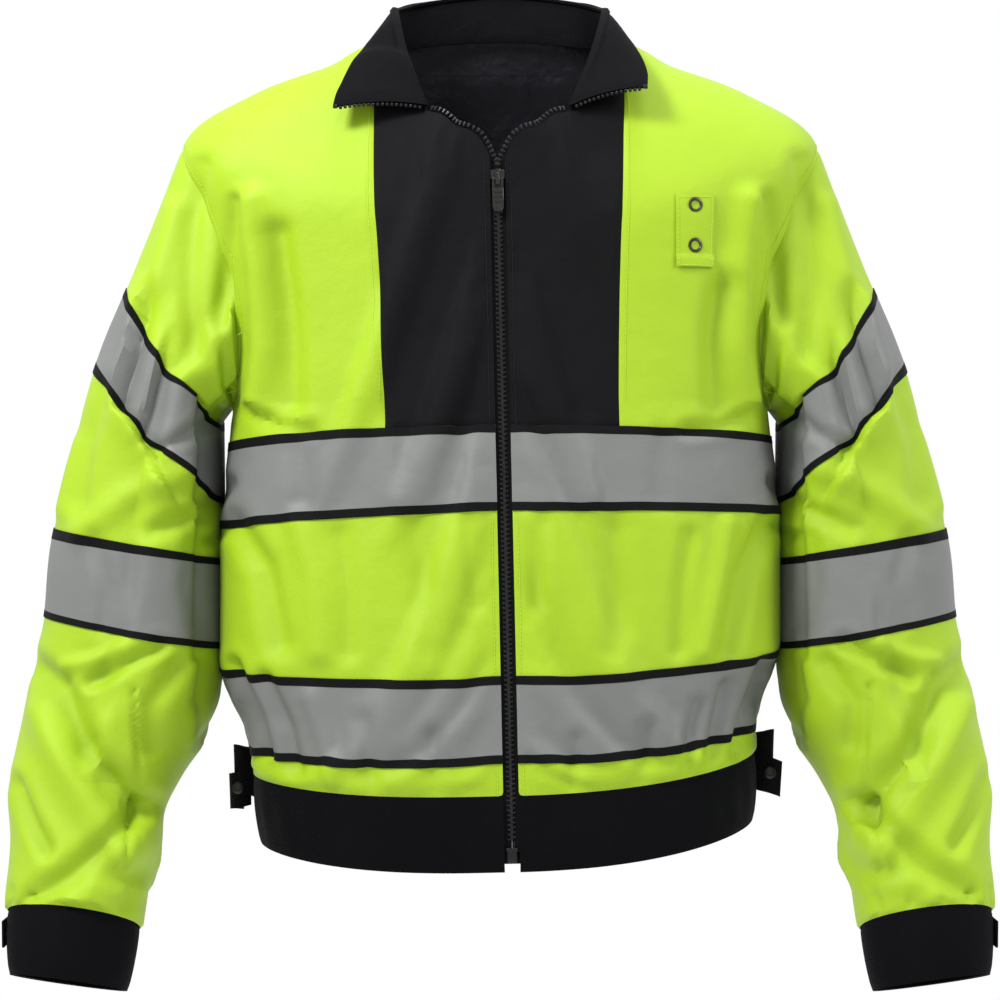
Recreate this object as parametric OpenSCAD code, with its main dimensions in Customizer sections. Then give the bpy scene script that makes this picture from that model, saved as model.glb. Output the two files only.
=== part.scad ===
// Waist-length high-visibility duty coat, zipped, with its collar turned down.
// Frame: the origin is the centre of the neck opening, level with the back neck seam.
// +Z is up, -Y is the front and +X is the wearer's left. Millimetres and degrees.

/* [Fabric] */
// Thickness of the outer shell
shell_t = 1.6; // [1.2:0.1:1.8]
// Thickness of the lining
lining_t = 1.2; // [0.8:0.1:1.4]
// Gap between layers of fabric
layer_gap = 0.4; // [0.3:0.05:0.5]
// Thickness of the waistband, cuffs and collar
band_t = 2.6; // [2:0.1:3]

/* [Reflective bands] */
// Width of the silver tape
tape_w = 50.8; // [44:0.1:51]
// Thickness of the silver tape and its trims
tape_t = 0.8; // [0.5:0.1:1]
// Width of the black trim on each side of the tape
trim_w = 6.4; // [4:0.1:7]
// Height of the upper band's middle at the zip
upper_band_z = -350; // [-354:1:-348]
// Height of the lower band's middle at the zip
lower_band_z = -534; // [-538:1:-530]

/* [Body] */
// Half width of the body at the chest
chest_half_w = 212; // [205:1:213]
// Half width at the waistband's lower edge
hem_half_w = 191; // [185:1:198]
// Depth of the back behind the origin
back_depth = 130; // [115:1:140]
// Height of the waistband's upper edge at the side
waist_z = -576; // [-582:1:-572]
// Height of the waistband's lower edge at the side
hem_z = -628; // [-634:1:-622]
// Half width of the black chest panel at its lower edge
panel_half_w = 88; // [80:1:95]

/* [Zip] */
// Pitch of the zip's teeth
tooth_pitch = 3.5; // [3.4:0.05:3.6]
// Width of the closed chain of teeth
chain_w = 6; // [5.6:0.1:6.4]
// Distance between the edges of the two fronts
front_gap = 11.4; // [11:0.1:12]
// Length of the pull tab
pull_len = 25; // [20:1:30]

/* [Badge tab] */
// Radius of the hole in an eyelet
eyelet_r = 3; // [2.5:0.1:3.2]
// Distance between the two eyelets
eyelet_pitch = 30; // [28:0.5:32]
// Width of the tab
badge_w = 30; // [26:1:32]
// Height of the tab
badge_h = 54; // [50:1:56]

/* [Collar] */
// Height of the collar stand at the back
stand_h = 33; // [26:1:34]
// Width of the leaf at the front corner
leaf_w = 71; // [62:1:72]

/* [Hidden] */

lime = [0.78, 0.96, 0.2];
black = [0.1, 0.1, 0.12];
silver = [0.68, 0.68, 0.7];
metal = [0.45, 0.42, 0.38];
inner = [0.2, 0.2, 0.24];
moulded = [0.16, 0.16, 0.17];

left = 1;
right = -1;

// The closed zip lies on one straight line between these two points.
zip_top = [-2, -116, -127];
zip_bottom = [9, -150, -634];
zip_len = norm(zip_bottom - zip_top);
function zip_part(z) = (zip_top.z - z) / (zip_top.z - zip_bottom.z);
function zip_x(z) = zip_top.x + zip_part(z) * (zip_bottom.x - zip_top.x);
function zip_depth(z) = -zip_top.y - zip_part(z) * (zip_bottom.y - zip_top.y);

// ---- Body surface below the armpit: angle u round the body, height z ----
// u is 0 at the zip, 90 at the wearer's left side, 180 at the back and -90 at the right side.
armpit_z = -300;
shape = 2.5;
half_w_by_z = [[-650, hem_half_w], [-575, hem_half_w + 4], [-530, chest_half_w - 10],
    [-495, chest_half_w + 1], [-400, chest_half_w + 1], [armpit_z, chest_half_w - 2]];
// The hem hangs a little to the wearer's left, and that side is pulled up.
sway_by_z = [[-650, 6], [-575, 3], [-520, 0]];
tilt_by_z = [[-650, 9], [-560, 9], [-350, 5], [armpit_z, 0]];
back_by_z = [[-650, back_depth - 10], [-590, back_depth - 6], [-540, back_depth],
    [-400, back_depth + 4], [armpit_z, back_depth]];

function power(a, p) = sign(a) * pow(abs(a), p);
function round_x(u) = power(sin(u), 2 / shape);
function round_y(u) = power(-cos(u), 2 / shape);
function front_part(u) = cos(u) > 0 ? cos(u) * cos(u) : 0;
function ring_point(u, z, half_w, front, back, shift) =
    [shift * front_part(u) + lookup(z, sway_by_z) * (1 - front_part(u)) + half_w * round_x(u),
        (cos(u) > 0 ? front : back) * round_y(u), z + lookup(z, tilt_by_z) * sin(u)];
low = function(u, z) ring_point(u, z, lookup(z, half_w_by_z), zip_depth(z),
    lookup(z, back_by_z), zip_x(z));

// ---- Body surface above the armpit: rings 0 to 6 from the armpit to the neck seam ----
// Each ring: half width, back depth, height at the front, at the side and at the back
upper_rings = [
    [chest_half_w - 2, back_depth, armpit_z, armpit_z, armpit_z],
    [chest_half_w + 8, back_depth - 4, -240, -238, -238],
    [chest_half_w + 24, back_depth - 12, -198, -168, -170],
    [248, back_depth - 24, -168, -96, -108],
    [192, 96, -154, -56, -66],
    [130, 80, -141, -33, -32],
    [80, 62, zip_top.z, -12, 0]];
tip_ring = 3;
neck_ring = 6;
collar_u = 38;
collar_z = -84;
notch_curve = 0.6;

function mix(a, b, t) = a + (b - a) * t;
function ring_at(v) = let(i = max(0, min(floor(v), neck_ring - 1)))
    mix(upper_rings[i], upper_rings[i + 1], v - i);
function eased_z(u, r) = cos(u) > 0 ? mix(r[3], r[2], cos(u) * cos(u)) : mix(r[3], r[4], cos(u) * cos(u));
// The neck seam drops steeply from the collar's front ends to the slider.
function neck_z(u, r) = abs(u) < collar_u
    ? mix(r[2], collar_z, pow(abs(sin(u)) / sin(collar_u), notch_curve))
    : (cos(u) > 0 ? mix(r[3], collar_z, pow(cos(u) / cos(collar_u), 1.6)) : eased_z(u, r));
upper = function(u, v) let(
    r = ring_at(v),
    z = mix(eased_z(u, r), neck_z(u, upper_rings[neck_ring]), max(0, v - neck_ring + 1)))
    ring_point(u, z, r[0], zip_depth(r[2]), r[1], zip_x(r[2]));
function upper_u(x, v) = asin(pow(min(1, x / ring_at(v)[0]), shape / 2));

// ---- Surfaces to solids ----
nudge = 0.4;
function unit(a) = a / max(norm(a), 1e-9);
function normal(skin, a, b, step_b) = unit(cross(
    skin(a + nudge, b) - skin(a - nudge, b),
    skin(a, b + step_b) - skin(a, b - step_b)));
function lifted(skin, a, b, step_b, rise) = skin(a, b) + rise * normal(skin, a, b, step_b);
function steps(a, b, n) = [for (i = [0:n]) mix(a, b, i / n)];
function flat_list(rows) = [for (row = rows, p = row) p];

// Two matching grids of points become one closed solid; closed rows join end to end.
module slab(top, bottom, closed = false) {
    n = len(top[0]);
    m = len(top);
    total = n * m;
    last = closed ? n - 1 : n - 2;
    mid = top[floor(m / 2)];
    side_a = top[min(m - 1, floor(m / 2) + 1)][floor(n / 2)] - mid[floor(n / 2)];
    side_b = mid[min(n - 1, floor(n / 2) + 1)] - mid[floor(n / 2)];
    back_a = side_a * side_a > 0 ? side_a : mid[floor(n / 2)] - top[floor(m / 2) - 1][floor(n / 2)];
    up = cross(side_b, back_a) * (mid[floor(n / 2)] - bottom[floor(m / 2)][floor(n / 2)]) > 0;
    grid = [for (j = [0:m - 2], i = [0:last]) let(
        a = j * n + i, b = j * n + (i + 1) % n, c = a + n, d = b + n)
        each [[a, c, b], [b, c, d]]];
    rims = [for (i = [0:last]) let(a = i, b = (i + 1) % n, e = (m - 1) * n)
        each [[a, b, a + total], [b, b + total, a + total],
              [e + a, e + a + total, e + b], [e + b, e + a + total, e + b + total]]];
    ends = closed ? [] : [for (j = [0:m - 2]) let(a = j * n, b = a + n, c = a + n - 1, d = b + n - 1)
        each [[a, a + total, b], [b, a + total, b + total],
              [c, d, c + total], [d, d + total, c + total]]];
    under = [for (t = grid) [t[0] + total, t[2] + total, t[1] + total]];
    all = concat(grid, under, rims, ends);
    polyhedron(concat(flat_list(top), flat_list(bottom)),
        up ? all : [for (t = all) [t[0], t[2], t[1]]], convexity = 8);
}

// Layers of fabric share their rows and columns, so that their facets stay parallel.
// Low rows are functions that give z at an angle u; upper columns are functions that give angles at a ring v.
function low_grid(us, lines, rise) = [for (line = lines) [for (u = us) lifted(low, u, line(u), 2, rise)]];
module low_piece(us, lines, rise, thick) {
    slab(low_grid(us, lines, rise), low_grid(us, lines, rise - thick));
}
function upper_grid(side, columns, vs, rise) = [for (v = vs) [for (u = columns(v))
    lifted(upper, side * u, v, 0.05, rise)]];

// ---- Seam lines on the body ----
seam = 0.3;
side_seam = 0.05;
side_drop_upper = -7;
side_rise_lower = 8;
waist_line = function(u) mix(waist_z, waist_z - 13, front_part(u));
hem_line = function(u) mix(hem_z, hem_z - 16, front_part(u));
function band_line(middle, side, offset) = function(u) middle + side * (1 - front_part(u)) + offset;
function upper_edge(offset) = band_line(upper_band_z, side_drop_upper, offset);
function lower_edge(offset) = band_line(lower_band_z, side_rise_lower, offset);
panel_line = upper_edge(tape_w / 2);
panel_end = upper_edge(tape_w / 2 - seam);
waist_top = function(u) waist_line(u) + seam;
waist_end = function(u) waist_line(u) - seam;
waist_middle = function(u) mix(hem_line(u), waist_end(u), 0.5);
flat_middle = function(u) mix(lower_line(u), panel_line(u), 0.5);
lower_line = lower_edge(tape_w / 2 + trim_w);
tape_lines = [-tape_w / 2, 0, tape_w / 2];
band_rows = [-tape_w / 2 - trim_w, -tape_w / 2, 0, tape_w / 2, tape_w / 2 + trim_w];
lower_rows = [for (offset = band_rows) lower_edge(offset)];
upper_rows = [for (offset = band_rows) upper_edge(offset)];
shell_lines = concat([waist_top], lower_rows, [flat_middle],
    [upper_rows[0], upper_rows[1], upper_rows[2], panel_end]);
armpit_line = function(u) armpit_z;
strip_lines = [panel_line, upper_rows[4]];

// The armhole is an oval in u and v, between the armpit and the shoulder tip.
armhole_front = 28;
armhole_back = 25;
function armhole_part(v) = v >= tip_ring ? 0 : sqrt(max(0, 1 - pow(2 * v / tip_ring - 1, 2)));
armhole_rows = [0, 0.12, 0.4, 0.9, 1.5, 2.1, 2.6, 2.88, 3];
lining_top = neck_ring - 0.1;
shoulder_rows = [4, 5, lining_top, 6];

lining_front = 14;
function zip_edge(v) = upper_u(front_gap / 2, v);
function panel_edge(v) = upper_u(min(mix(panel_half_w, panel_half_w + 10, v / neck_ring),
    0.76 * ring_at(v)[0]), v);
function arm_front(v) = 90 - armhole_front * armhole_part(v) - side_seam;
function arm_back(v) = 90 + armhole_back * armhole_part(v) + side_seam;
inner_chest_us = function(v) steps(upper_u(lining_front, v), panel_edge(v) - seam / 2, 3);
chest_us = function(v) concat([zip_edge(v)], inner_chest_us(v));
flank_us = function(v) steps(panel_edge(v) + seam / 2, arm_front(v), 5);
lining_us = function(v) concat(inner_chest_us(v), flank_us(v));
back_us = function(v) steps(arm_back(v), 360 - arm_back(v), 13);

function low_columns(side) = [for (u = concat(chest_us(0), flank_us(0))) side * u];
function lining_columns(side) = [for (u = lining_us(0)) side * u];
back_columns = back_us(0);

// ---- Shell of the body ----
module front_lower(side) {
    color(lime) low_piece(low_columns(side), shell_lines, 0, shell_t);
}
module front_lower_left() { front_lower(left); }
module front_lower_right() { front_lower(right); }

// The upper panels start at the upper tape, a little below the armpit.
function strip_and_panel(side, columns, rise) = concat(
    low_grid([for (u = columns(0)) side * u], strip_lines, rise),
    upper_grid(side, columns, all_rows, rise));
module body_panel(side, columns) {
    slab(strip_and_panel(side, columns, 0), strip_and_panel(side, columns, -shell_t));
}
all_rows = concat(armhole_rows, shoulder_rows);
module chest_panel(side) {
    color(black) body_panel(side, chest_us);
}
module chest_panel_left() { chest_panel(left); }
module chest_panel_right() { chest_panel(right); }

module front_upper(side) {
    color(lime) body_panel(side, flank_us);
}
module front_upper_left() { front_upper(left); }
module front_upper_right() { front_upper(right); }

module back_upper() {
    color(lime) body_panel(left, back_us);
}
module back_lower() {
    color(lime) low_piece(back_columns, shell_lines, 0, shell_t);
}

// ---- Lining, one layer inside the shell ----
lining_rise = -shell_t - layer_gap;
lining_lines = concat([waist_top], lower_rows, [flat_middle], upper_rows, [armpit_line]);
lining_rows = [for (v = all_rows) if (v > 0 && v < neck_ring) v];
function lining_sheet(side, low_us, columns, rise) = concat(
    low_grid(low_us, lining_lines, rise), upper_grid(side, columns, lining_rows, rise));
module lining_piece(side, low_us, columns) {
    slab(lining_sheet(side, low_us, columns, lining_rise),
        lining_sheet(side, low_us, columns, lining_rise - lining_t));
}
module body_lining() {
    color(inner) {
        for (side = [left, right]) lining_piece(side, lining_columns(side), lining_us);
        lining_piece(left, back_columns, back_us);
    }
}

// ---- Silver tapes and black trims ----
tape_rise = layer_gap + tape_t;
upper_edges = function(offset) upper_edge(offset);
lower_edges = function(offset) lower_edge(offset);
module tape(us, edge, offsets) {
    low_piece(us, [for (offset = offsets) edge(offset)], tape_rise, tape_t);
}
module silver_tape(us, edge) {
    color(silver) tape(us, edge, tape_lines);
}
module upper_tape_front_left() { silver_tape(low_columns(left), upper_edges); }
module upper_tape_front_right() { silver_tape(low_columns(right), upper_edges); }
module upper_tape_back() { silver_tape(back_columns, upper_edges); }
module lower_tape_front_left() { silver_tape(low_columns(left), lower_edges); }
module lower_tape_front_right() { silver_tape(low_columns(right), lower_edges); }
module lower_tape_back() { silver_tape(back_columns, lower_edges); }

module trims_along(us) {
    for (edge = [upper_edges, lower_edges]) {
        tape(us, edge, [tape_w / 2 + seam, tape_w / 2 + trim_w]);
        tape(us, edge, [-tape_w / 2 - trim_w, -tape_w / 2 - seam]);
    }
}
module body_trims() {
    color(black) for (us = [low_columns(left), low_columns(right), back_columns]) trims_along(us);
}

// ---- Waistband ----
module waistband(us) {
    color(black) low_piece(us, [hem_line, waist_middle, waist_end], band_t - 1.8, band_t);
}
module waistband_front_left() { waistband(low_columns(left)); }
module waistband_front_right() { waistband(low_columns(right)); }
module waistband_back() { waistband(back_columns); }

// ---- Collar ----
function collar_part(u) = (min(u, 360 - u) - collar_u) / (180 - collar_u);
outward_by_u = [[38, 1.5], [90, 1], [180, 13]];
function roll_point(u) = let(w = min(u, 360 - u), q = max(0, collar_part(u)))
    upper(u, neck_ring) + lookup(w, outward_by_u) * [sin(u), -cos(u), 0]
    + [0, 0, 3 + (stand_h - 3) * pow(q, 0.6)];
// How far the leaf's edge lies from the roll line: sideways, back and up
leaf_side = [[38, leaf_w], [60, 44], [90, 22], [120, 20], [150, 14], [180, 0]];
leaf_back = [[38, -1], [60, 0], [90, 6], [120, 20], [150, 30], [180, 34]];
leaf_fall = [[38, -1], [60, -12], [90, -16], [120, -28], [150, -44], [180, -51]];
// The wearer's left corner sits closer to the neck and higher than the right one.
left_corner = [-14, 0, 14];
function corner_part(u) = u < 90 ? pow((90 - u) / (90 - collar_u), 2) : 0;
function leaf_edge(u) = let(w = min(u, 360 - u)) roll_point(u) + corner_part(u) * left_corner
    + [(u > 180 ? -1 : 1) * lookup(w, leaf_side), lookup(w, leaf_back), lookup(w, leaf_fall)];
stand_surface = function(u, t) mix(upper(u, neck_ring) + [0, 0, 1.5], roll_point(u), t);
crest_bow = 6;
leaf_surface = function(u, t) mix(roll_point(u), leaf_edge(u), t) + [0, 0, crest_bow * t * (1 - t) * 2];

function sheet_grid(skin, us, ts, rise) = [for (t = ts) [for (u = us) lifted(skin, u, t, 0.02, rise)]];
module sheet(skin, us, ts, rise, thick) {
    slab(sheet_grid(skin, us, ts, rise), sheet_grid(skin, us, ts, rise - thick));
}
leaf_hinge_u = 84;
leaf_inset = 2.4;
module collar_stand() {
    color(black) sheet(stand_surface, steps(collar_u + 2, 358 - collar_u, 22), steps(0, 0.86, 2), 0, band_t);
}
module collar_leaf_back() {
    us = steps(leaf_hinge_u + 3, 357 - leaf_hinge_u, 16);
    color(black) sheet(leaf_surface, us, steps(0.05, 1, 3), 0, -band_t);
}
module collar_leaf(side) {
    us = [for (u = steps(collar_u + leaf_inset, leaf_hinge_u, 5)) side > 0 ? u : 360 - u];
    color(black) sheet(leaf_surface, us, steps(0.06, 1, 3), 0, -band_t);
}
module collar_leaf_left() { collar_leaf(left); }
module collar_leaf_right() { collar_leaf(right); }

// ---- Zip teeth, one small block for each tooth ----
tooth_h = 1.5;
tooth_t = 2.4;
tooth_reach = 1.2;
module on_zip(along) {
    lean_x = -atan((zip_top.y - zip_bottom.y) / (zip_top.z - zip_bottom.z));
    lean_y = -atan((zip_bottom.x - zip_top.x) / (zip_top.z - zip_bottom.z));
    translate(zip_top) rotate([0, lean_y, 0]) rotate([lean_x, 0, 0]) translate([0, 0, -along]) children();
}
chain_depth = shell_t + 0.8;
first_tooth = 3;
teeth_count = floor((zip_len - 16) / tooth_pitch);
module tooth() {
    translate([-tooth_reach, -tooth_t / 2, -tooth_h / 2])
        cube([chain_w / 2 + tooth_reach, tooth_t, tooth_h]);
}
module chain_half(side) {
    shift = side > 0 ? 0 : tooth_pitch / 2;
    on_zip(first_tooth + shift) translate([0, chain_depth, 0]) mirror([side > 0 ? 0 : 1, 0, 0])
        for (i = [0:teeth_count]) translate([0, 0, -i * tooth_pitch]) tooth();
}
// A row of open teeth stands along an edge; away points from the fabric's edge.
open_reach = 3.6;
edge_gap = 2;
function path_length(p, i = 0) = i >= len(p) - 1 ? 0 : norm(p[i + 1] - p[i]) + path_length(p, i + 1);
function walk(p, s, i = 0) = let(d = norm(p[i + 1] - p[i])) s <= d || i >= len(p) - 2
    ? [mix(p[i], p[i + 1], s / d), unit(p[i + 1] - p[i])] : walk(p, s - d, i + 1);
module open_teeth(path, face, away_sign, depth) {
    for (i = [0:floor((path_length(path) - tooth_h) / tooth_pitch)]) {
        spot = walk(path, tooth_h / 2 + i * tooth_pitch);
        t = spot[1];
        away = unit(cross(face, t)) * away_sign;
        out = cross(t, away) * away_sign;
        at = spot[0] + away * edge_gap - out * depth;
        multmatrix([[t.x, away.x, out.x, at.x], [t.y, away.y, out.y, at.y], [t.z, away.z, out.z, at.z],
            [0, 0, 0, 1]]) translate([-tooth_h / 2, 0, -tooth_t / 2]) cube([tooth_h, open_reach, tooth_t]);
    }
}
notch_start_u = 3.4;
chest_face = [0, -1, 0.1];
module zip_teeth(side) {
    path = [for (u = steps(notch_start_u, collar_u - 2, 12)) upper(side * u, neck_ring)];
    color(moulded) {
        chain_half(side);
        open_teeth(path, chest_face, side, shell_t / 2);
    }
}
module zip_teeth_left() { zip_teeth(left); }
module zip_teeth_right() { zip_teeth(right); }

module zip_tape(side) {
    color(black) on_zip(1) mirror([side > 0 ? 0 : 1, 0, 0])
        translate([chain_w / 2 + 0.2, chain_depth - 0.35, -zip_len + 11])
            cube([front_gap / 2 + 3 - chain_w / 2, 0.7, zip_len - 12]);
}
module zip_tape_left() { zip_tape(left); }
module zip_tape_right() { zip_tape(right); }

// The leaf's teeth follow the collar's front edge to the corner.
leaf_tooth_gap = 22;
module leaf_teeth(side) {
    u = side > 0 ? collar_u : 360 - collar_u;
    start = roll_point(u);
    end = leaf_edge(u);
    path = [start + unit(end - start) * leaf_tooth_gap, end];
    color(moulded) open_teeth(path, [0, 0, 1], side, -band_t / 2);
}
module leaf_teeth_left() { leaf_teeth(left); }
module leaf_teeth_right() { leaf_teeth(right); }

// ---- Slider, pull tab, box and pin ----
slider_w = 10.4;
slider_h = 15;
slider_t = 7.6;
channel_w = 7.4;
channel_t = 3.2;
slider_at = 3;
flange_gap = 1.6;
bridge_w = 2.4;
bridge_rise = 3.4;
pin_r = 0.9;
module zip_slider_body() {
    color(metal) on_zip(slider_at) translate([0, chain_depth, 0]) {
        difference() {
            translate([-slider_w / 2, -slider_t / 2, -slider_h]) cube([slider_w, slider_t, slider_h]);
            translate([-channel_w / 2, -channel_t / 2, -slider_h - 1])
                cube([channel_w, channel_t, slider_h + 2]);
            translate([-slider_w, -flange_gap / 2, -slider_h - 1])
                cube([2 * slider_w, flange_gap, slider_h + 2]);
        }
        difference() {
            translate([-bridge_w / 2, -slider_t / 2 - bridge_rise, -slider_h + 3])
                cube([bridge_w, bridge_rise, 9]);
            translate([-bridge_w, -slider_t / 2 - bridge_rise / 2, -slider_h + 7.5]) rotate([0, 90, 0])
                cylinder(r = pin_r + 0.35, h = 2 * bridge_w, $fn = 32);
        }
    }
}
pull_t = 1.6;
pull_w = 8.6;
pull_hinge = [0, -slider_t / 2 - bridge_rise / 2, -slider_h + 7.5];
module zip_pull_tab() {
    color(metal) on_zip(slider_at) translate([0, chain_depth, 0]) translate(pull_hinge) {
        rotate([0, 90, 0]) translate([0, 0, -pull_w / 2]) cylinder(r = pin_r, h = pull_w, $fn = 32);
        for (side = [left, right]) translate([side * (pull_w / 2 - 1.1) - 1.1, -pull_t / 2, -7])
            cube([2.2, pull_t, 7.6]);
        translate([-pull_w / 2, -pull_t / 2, -pull_len]) cube([pull_w, pull_t, pull_len - 6]);
        for (z = [-pull_len + 4:3.4:-9]) translate([-pull_w / 2 + 1.2, -pull_t / 2 - 0.6, z])
            cube([pull_w - 2.4, 0.7, 1.6]);
    }
}
module zip_retainer_box() {
    color(moulded) on_zip(zip_len) translate([0, chain_depth, 0]) difference() {
        translate([-3.8, -2.6, 0]) cube([7.6, 5.2, 8.4]);
        translate([0.6, -1.1, 1.4]) cube([2.2, 2.2, 8]);
    }
}
module zip_insertion_pin() {
    color(moulded) on_zip(zip_len) translate([1.7, chain_depth, 1.7]) cylinder(r = 0.9, h = 8.6, $fn = 24);
}

// ---- Badge tab with two eyelets, flat on the wearer's left chest ----
badge_at = [146, -168];
badge_v = 2.35;
badge_u = upper_u(badge_at.x, badge_v);
badge_out = normal(upper, badge_u, badge_v, 0.05);
badge_spot = upper(badge_u, badge_v) + badge_out * (layer_gap + 0.6);
badge_t = 1.4;
eyelet_rim = 1.9;
module on_badge() {
    across = unit(cross([0, 0, 1], badge_out));
    up = cross(badge_out, across);
    multmatrix([[across.x, up.x, badge_out.x, badge_spot.x], [across.y, up.y, badge_out.y, badge_spot.y],
        [across.z, up.z, badge_out.z, badge_spot.z], [0, 0, 0, 1]]) children();
}
module badge_tab() {
    color(lime) on_badge() difference() {
        translate([-badge_w / 2, -badge_h / 2, 0]) cube([badge_w, badge_h, badge_t]);
        for (side = [-1, 1]) translate([0, side * eyelet_pitch / 2 + 4, -1])
            cylinder(r = eyelet_r + 1, h = badge_t + 2, $fn = 48);
    }
}
module badge_eyelets() {
    color(metal) on_badge() for (side = [-1, 1]) translate([0, side * eyelet_pitch / 2 + 4, 0])
        rotate_extrude($fn = 48) translate([eyelet_r, 0]) union() {
            square([0.8, badge_t + 1]);
            translate([0, badge_t + 0.1]) square([eyelet_rim, 0.9]);
        }
}

// ---- Sleeves: rings from the armhole to the cuff ----
// Each ring: outer point x and z, inner point x and z, centre y, half depth, forward tilt
sleeve_rings = [
    [292, -206, 219, -313, 0, 72, 0],
    [318, -271, 219, -375, 0, 76, 0],
    [349, -393, 218, -417, -4, 76, 0],
    [356, -461, 219, -487, -8, 75, 0],
    [362, -494, 219, -512, -10, 74, 2],
    [369, -528, 225, -542, -16, 72, 8],
    [374, -565, 250, -574, -30, 66, 18],
    [377, -602, 266, -608, -48, 59, 24],
    [373, -638, 263, -645, -63, 56, 24],
    [374, -680, 267, -691, -78, 52, 24],
    [370, -684, 271, -695, -79, 47, 22],
    [367, -729, 278, -741, -92, 45, 22]];
function sleeve_ring(k) = let(i = min(floor(k), len(sleeve_rings) - 2))
    mix(sleeve_rings[i], sleeve_rings[i + 1], k - i);
function sleeve_point(q, r) = [(r[0] + r[2]) / 2 + (r[0] - r[2]) / 2 * cos(q),
    r[4] - r[5] * cos(r[6]) * sin(q),
    (r[1] + r[3]) / 2 + (r[1] - r[3]) / 2 * cos(q) + r[5] * sin(r[6]) * sin(q)];
// The armhole edge, moved outward to leave room for the seam
cap_gap = 3;
function armhole_point(q) = let(v = tip_ring * (1 + cos(q)) / 2)
    upper(90 - (sin(q) > 0 ? armhole_front : armhole_back) * sin(q), v) + [cap_gap, 0, 0];
tube = function(q, k) k < 0
    ? mix(armhole_point(q), sleeve_point(q, sleeve_rings[0]), 1 + k)
    : sleeve_point(q, sleeve_ring(k));

round_steps = [for (i = [0:17]) i * 20];
function tube_grid(ks, rise) = [for (k = ks) [for (q = round_steps) lifted(tube, q, k, 0.01, rise)]];
module tube_piece(side, ks, rise, thick) {
    mirror([side > 0 ? 0 : 1, 0, 0]) slab(tube_grid(ks, rise), tube_grid(ks, rise - thick), true);
}
// Band edges as fractions of the ring spacing
upper_band_ks = [0.09, 0.91];
lower_band_ks = [2.09, 2.91];
step_k = 0.01;
module sleeve_cap(side) {
    color(lime) tube_piece(side, [-0.99, -0.75, -0.5, -0.25, -step_k], 0, shell_t);
}
module sleeve_cap_left() { sleeve_cap(left); }
module sleeve_cap_right() { sleeve_cap(right); }
module sleeve_upper(side) {
    color(lime) tube_piece(side, [step_k, 0.5, 1, 1.5, 2, 2.5, 3], 0, shell_t);
}
module sleeve_upper_left() { sleeve_upper(left); }
module sleeve_upper_right() { sleeve_upper(right); }
module sleeve_band(side, ks) {
    color(silver) tube_piece(side, [ks[0], ks[1]], tape_rise, tape_t);
}
module sleeve_upper_tape_left() { sleeve_band(left, upper_band_ks); }
module sleeve_upper_tape_right() { sleeve_band(right, upper_band_ks); }
module sleeve_lower_tape_left() { sleeve_band(left, lower_band_ks); }
module sleeve_lower_tape_right() { sleeve_band(right, lower_band_ks); }
module sleeve_trims(side) {
    color(black) for (ks = [upper_band_ks, lower_band_ks]) {
        tube_piece(side, [floor(ks[0]) + step_k, ks[0] - step_k / 2], tape_rise, tape_t);
        tube_piece(side, [ks[1] + step_k / 2, ceil(ks[1]) - step_k], tape_rise, tape_t);
    }
}
module sleeve_trims_left() { sleeve_trims(left); }
module sleeve_trims_right() { sleeve_trims(right); }
module elbow_section(side) {
    color(lime) tube_piece(side, [3 + 2 * step_k, 4, 5, 6, 7 - step_k], 0, shell_t);
}
module elbow_section_left() { elbow_section(left); }
module elbow_section_right() { elbow_section(right); }
module forearm(side) {
    color(lime) tube_piece(side, [7, 8, 9], 0, shell_t);
}
module forearm_left() { forearm(left); }
module forearm_right() { forearm(right); }
module forearm_lining(side) {
    color(inner) tube_piece(side, [7.1, 8, 8.9], lining_rise, lining_t);
}
module forearm_lining_left() { forearm_lining(left); }
module forearm_lining_right() { forearm_lining(right); }
module cuff(side) {
    color(black) tube_piece(side, [10, 10.5, 11], 0, band_t);
}
module cuff_left() { cuff(left); }
module cuff_right() { cuff(right); }

// Snap tab on the outer side of each cuff
cuff_tab_size = [26, 20, 1.6];
module cuff_tab(side) {
    at = tube(0, 10.15);
    down = unit(tube(0, 10.6) - at);
    out = unit(cross([0, 1, 0], down) * -1);
    color(black) mirror([side > 0 ? 0 : 1, 0, 0])
        multmatrix([[0, down.x, out.x, at.x], [1, down.y, out.y, at.y],
                [0, down.z, out.z, at.z], [0, 0, 0, 1]])
            translate([-cuff_tab_size.x / 2, 0, 0.5]) {
                cube(cuff_tab_size);
                translate([7, cuff_tab_size.y / 2, 1]) cylinder(r = 5, h = 1.5, $fn = 32);
            }
}
module cuff_tab_left() { cuff_tab(left); }
module cuff_tab_right() { cuff_tab(right); }

// ---- Waist tabs: a looped strap beside the side vent, with a snap ----
tab_len = 22;
tab_h = 46;
tab_y = 6;
tab_wall = 2;
function tab_corner(side) = [hem_half_w + 6 + side * 3, tab_y, -609 + side * 6];
module waist_tab(side) {
    color(black) mirror([side > 0 ? 0 : 1, 0, 0]) translate(tab_corner(side))
        difference() {
            linear_extrude(height = tab_h) strap_outline(0);
            translate([0, 0, -1]) linear_extrude(height = tab_h + 2) strap_outline(tab_wall);
        }
}
module strap_outline(inset) {
    r = 5 - inset;
    w = tab_len - 10;
    translate([5, 5]) circle(r = r, $fn = 32);
    translate([5 + w, 5]) circle(r = r, $fn = 32);
    translate([5, inset]) square([w, 10 - 2 * inset]);
}
module waist_tab_left() { waist_tab(left); }
module waist_tab_right() { waist_tab(right); }
module waist_tab_snap(side) {
    color(metal) mirror([side > 0 ? 0 : 1, 0, 0])
        translate(tab_corner(side) + [tab_len / 2, -0.1, tab_h / 2])
            rotate([90, 0, 0]) cylinder(r = 6, h = 1.6, $fn = 40);
}
module waist_tab_snap_left() { waist_tab_snap(left); }
module waist_tab_snap_right() { waist_tab_snap(right); }

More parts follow.
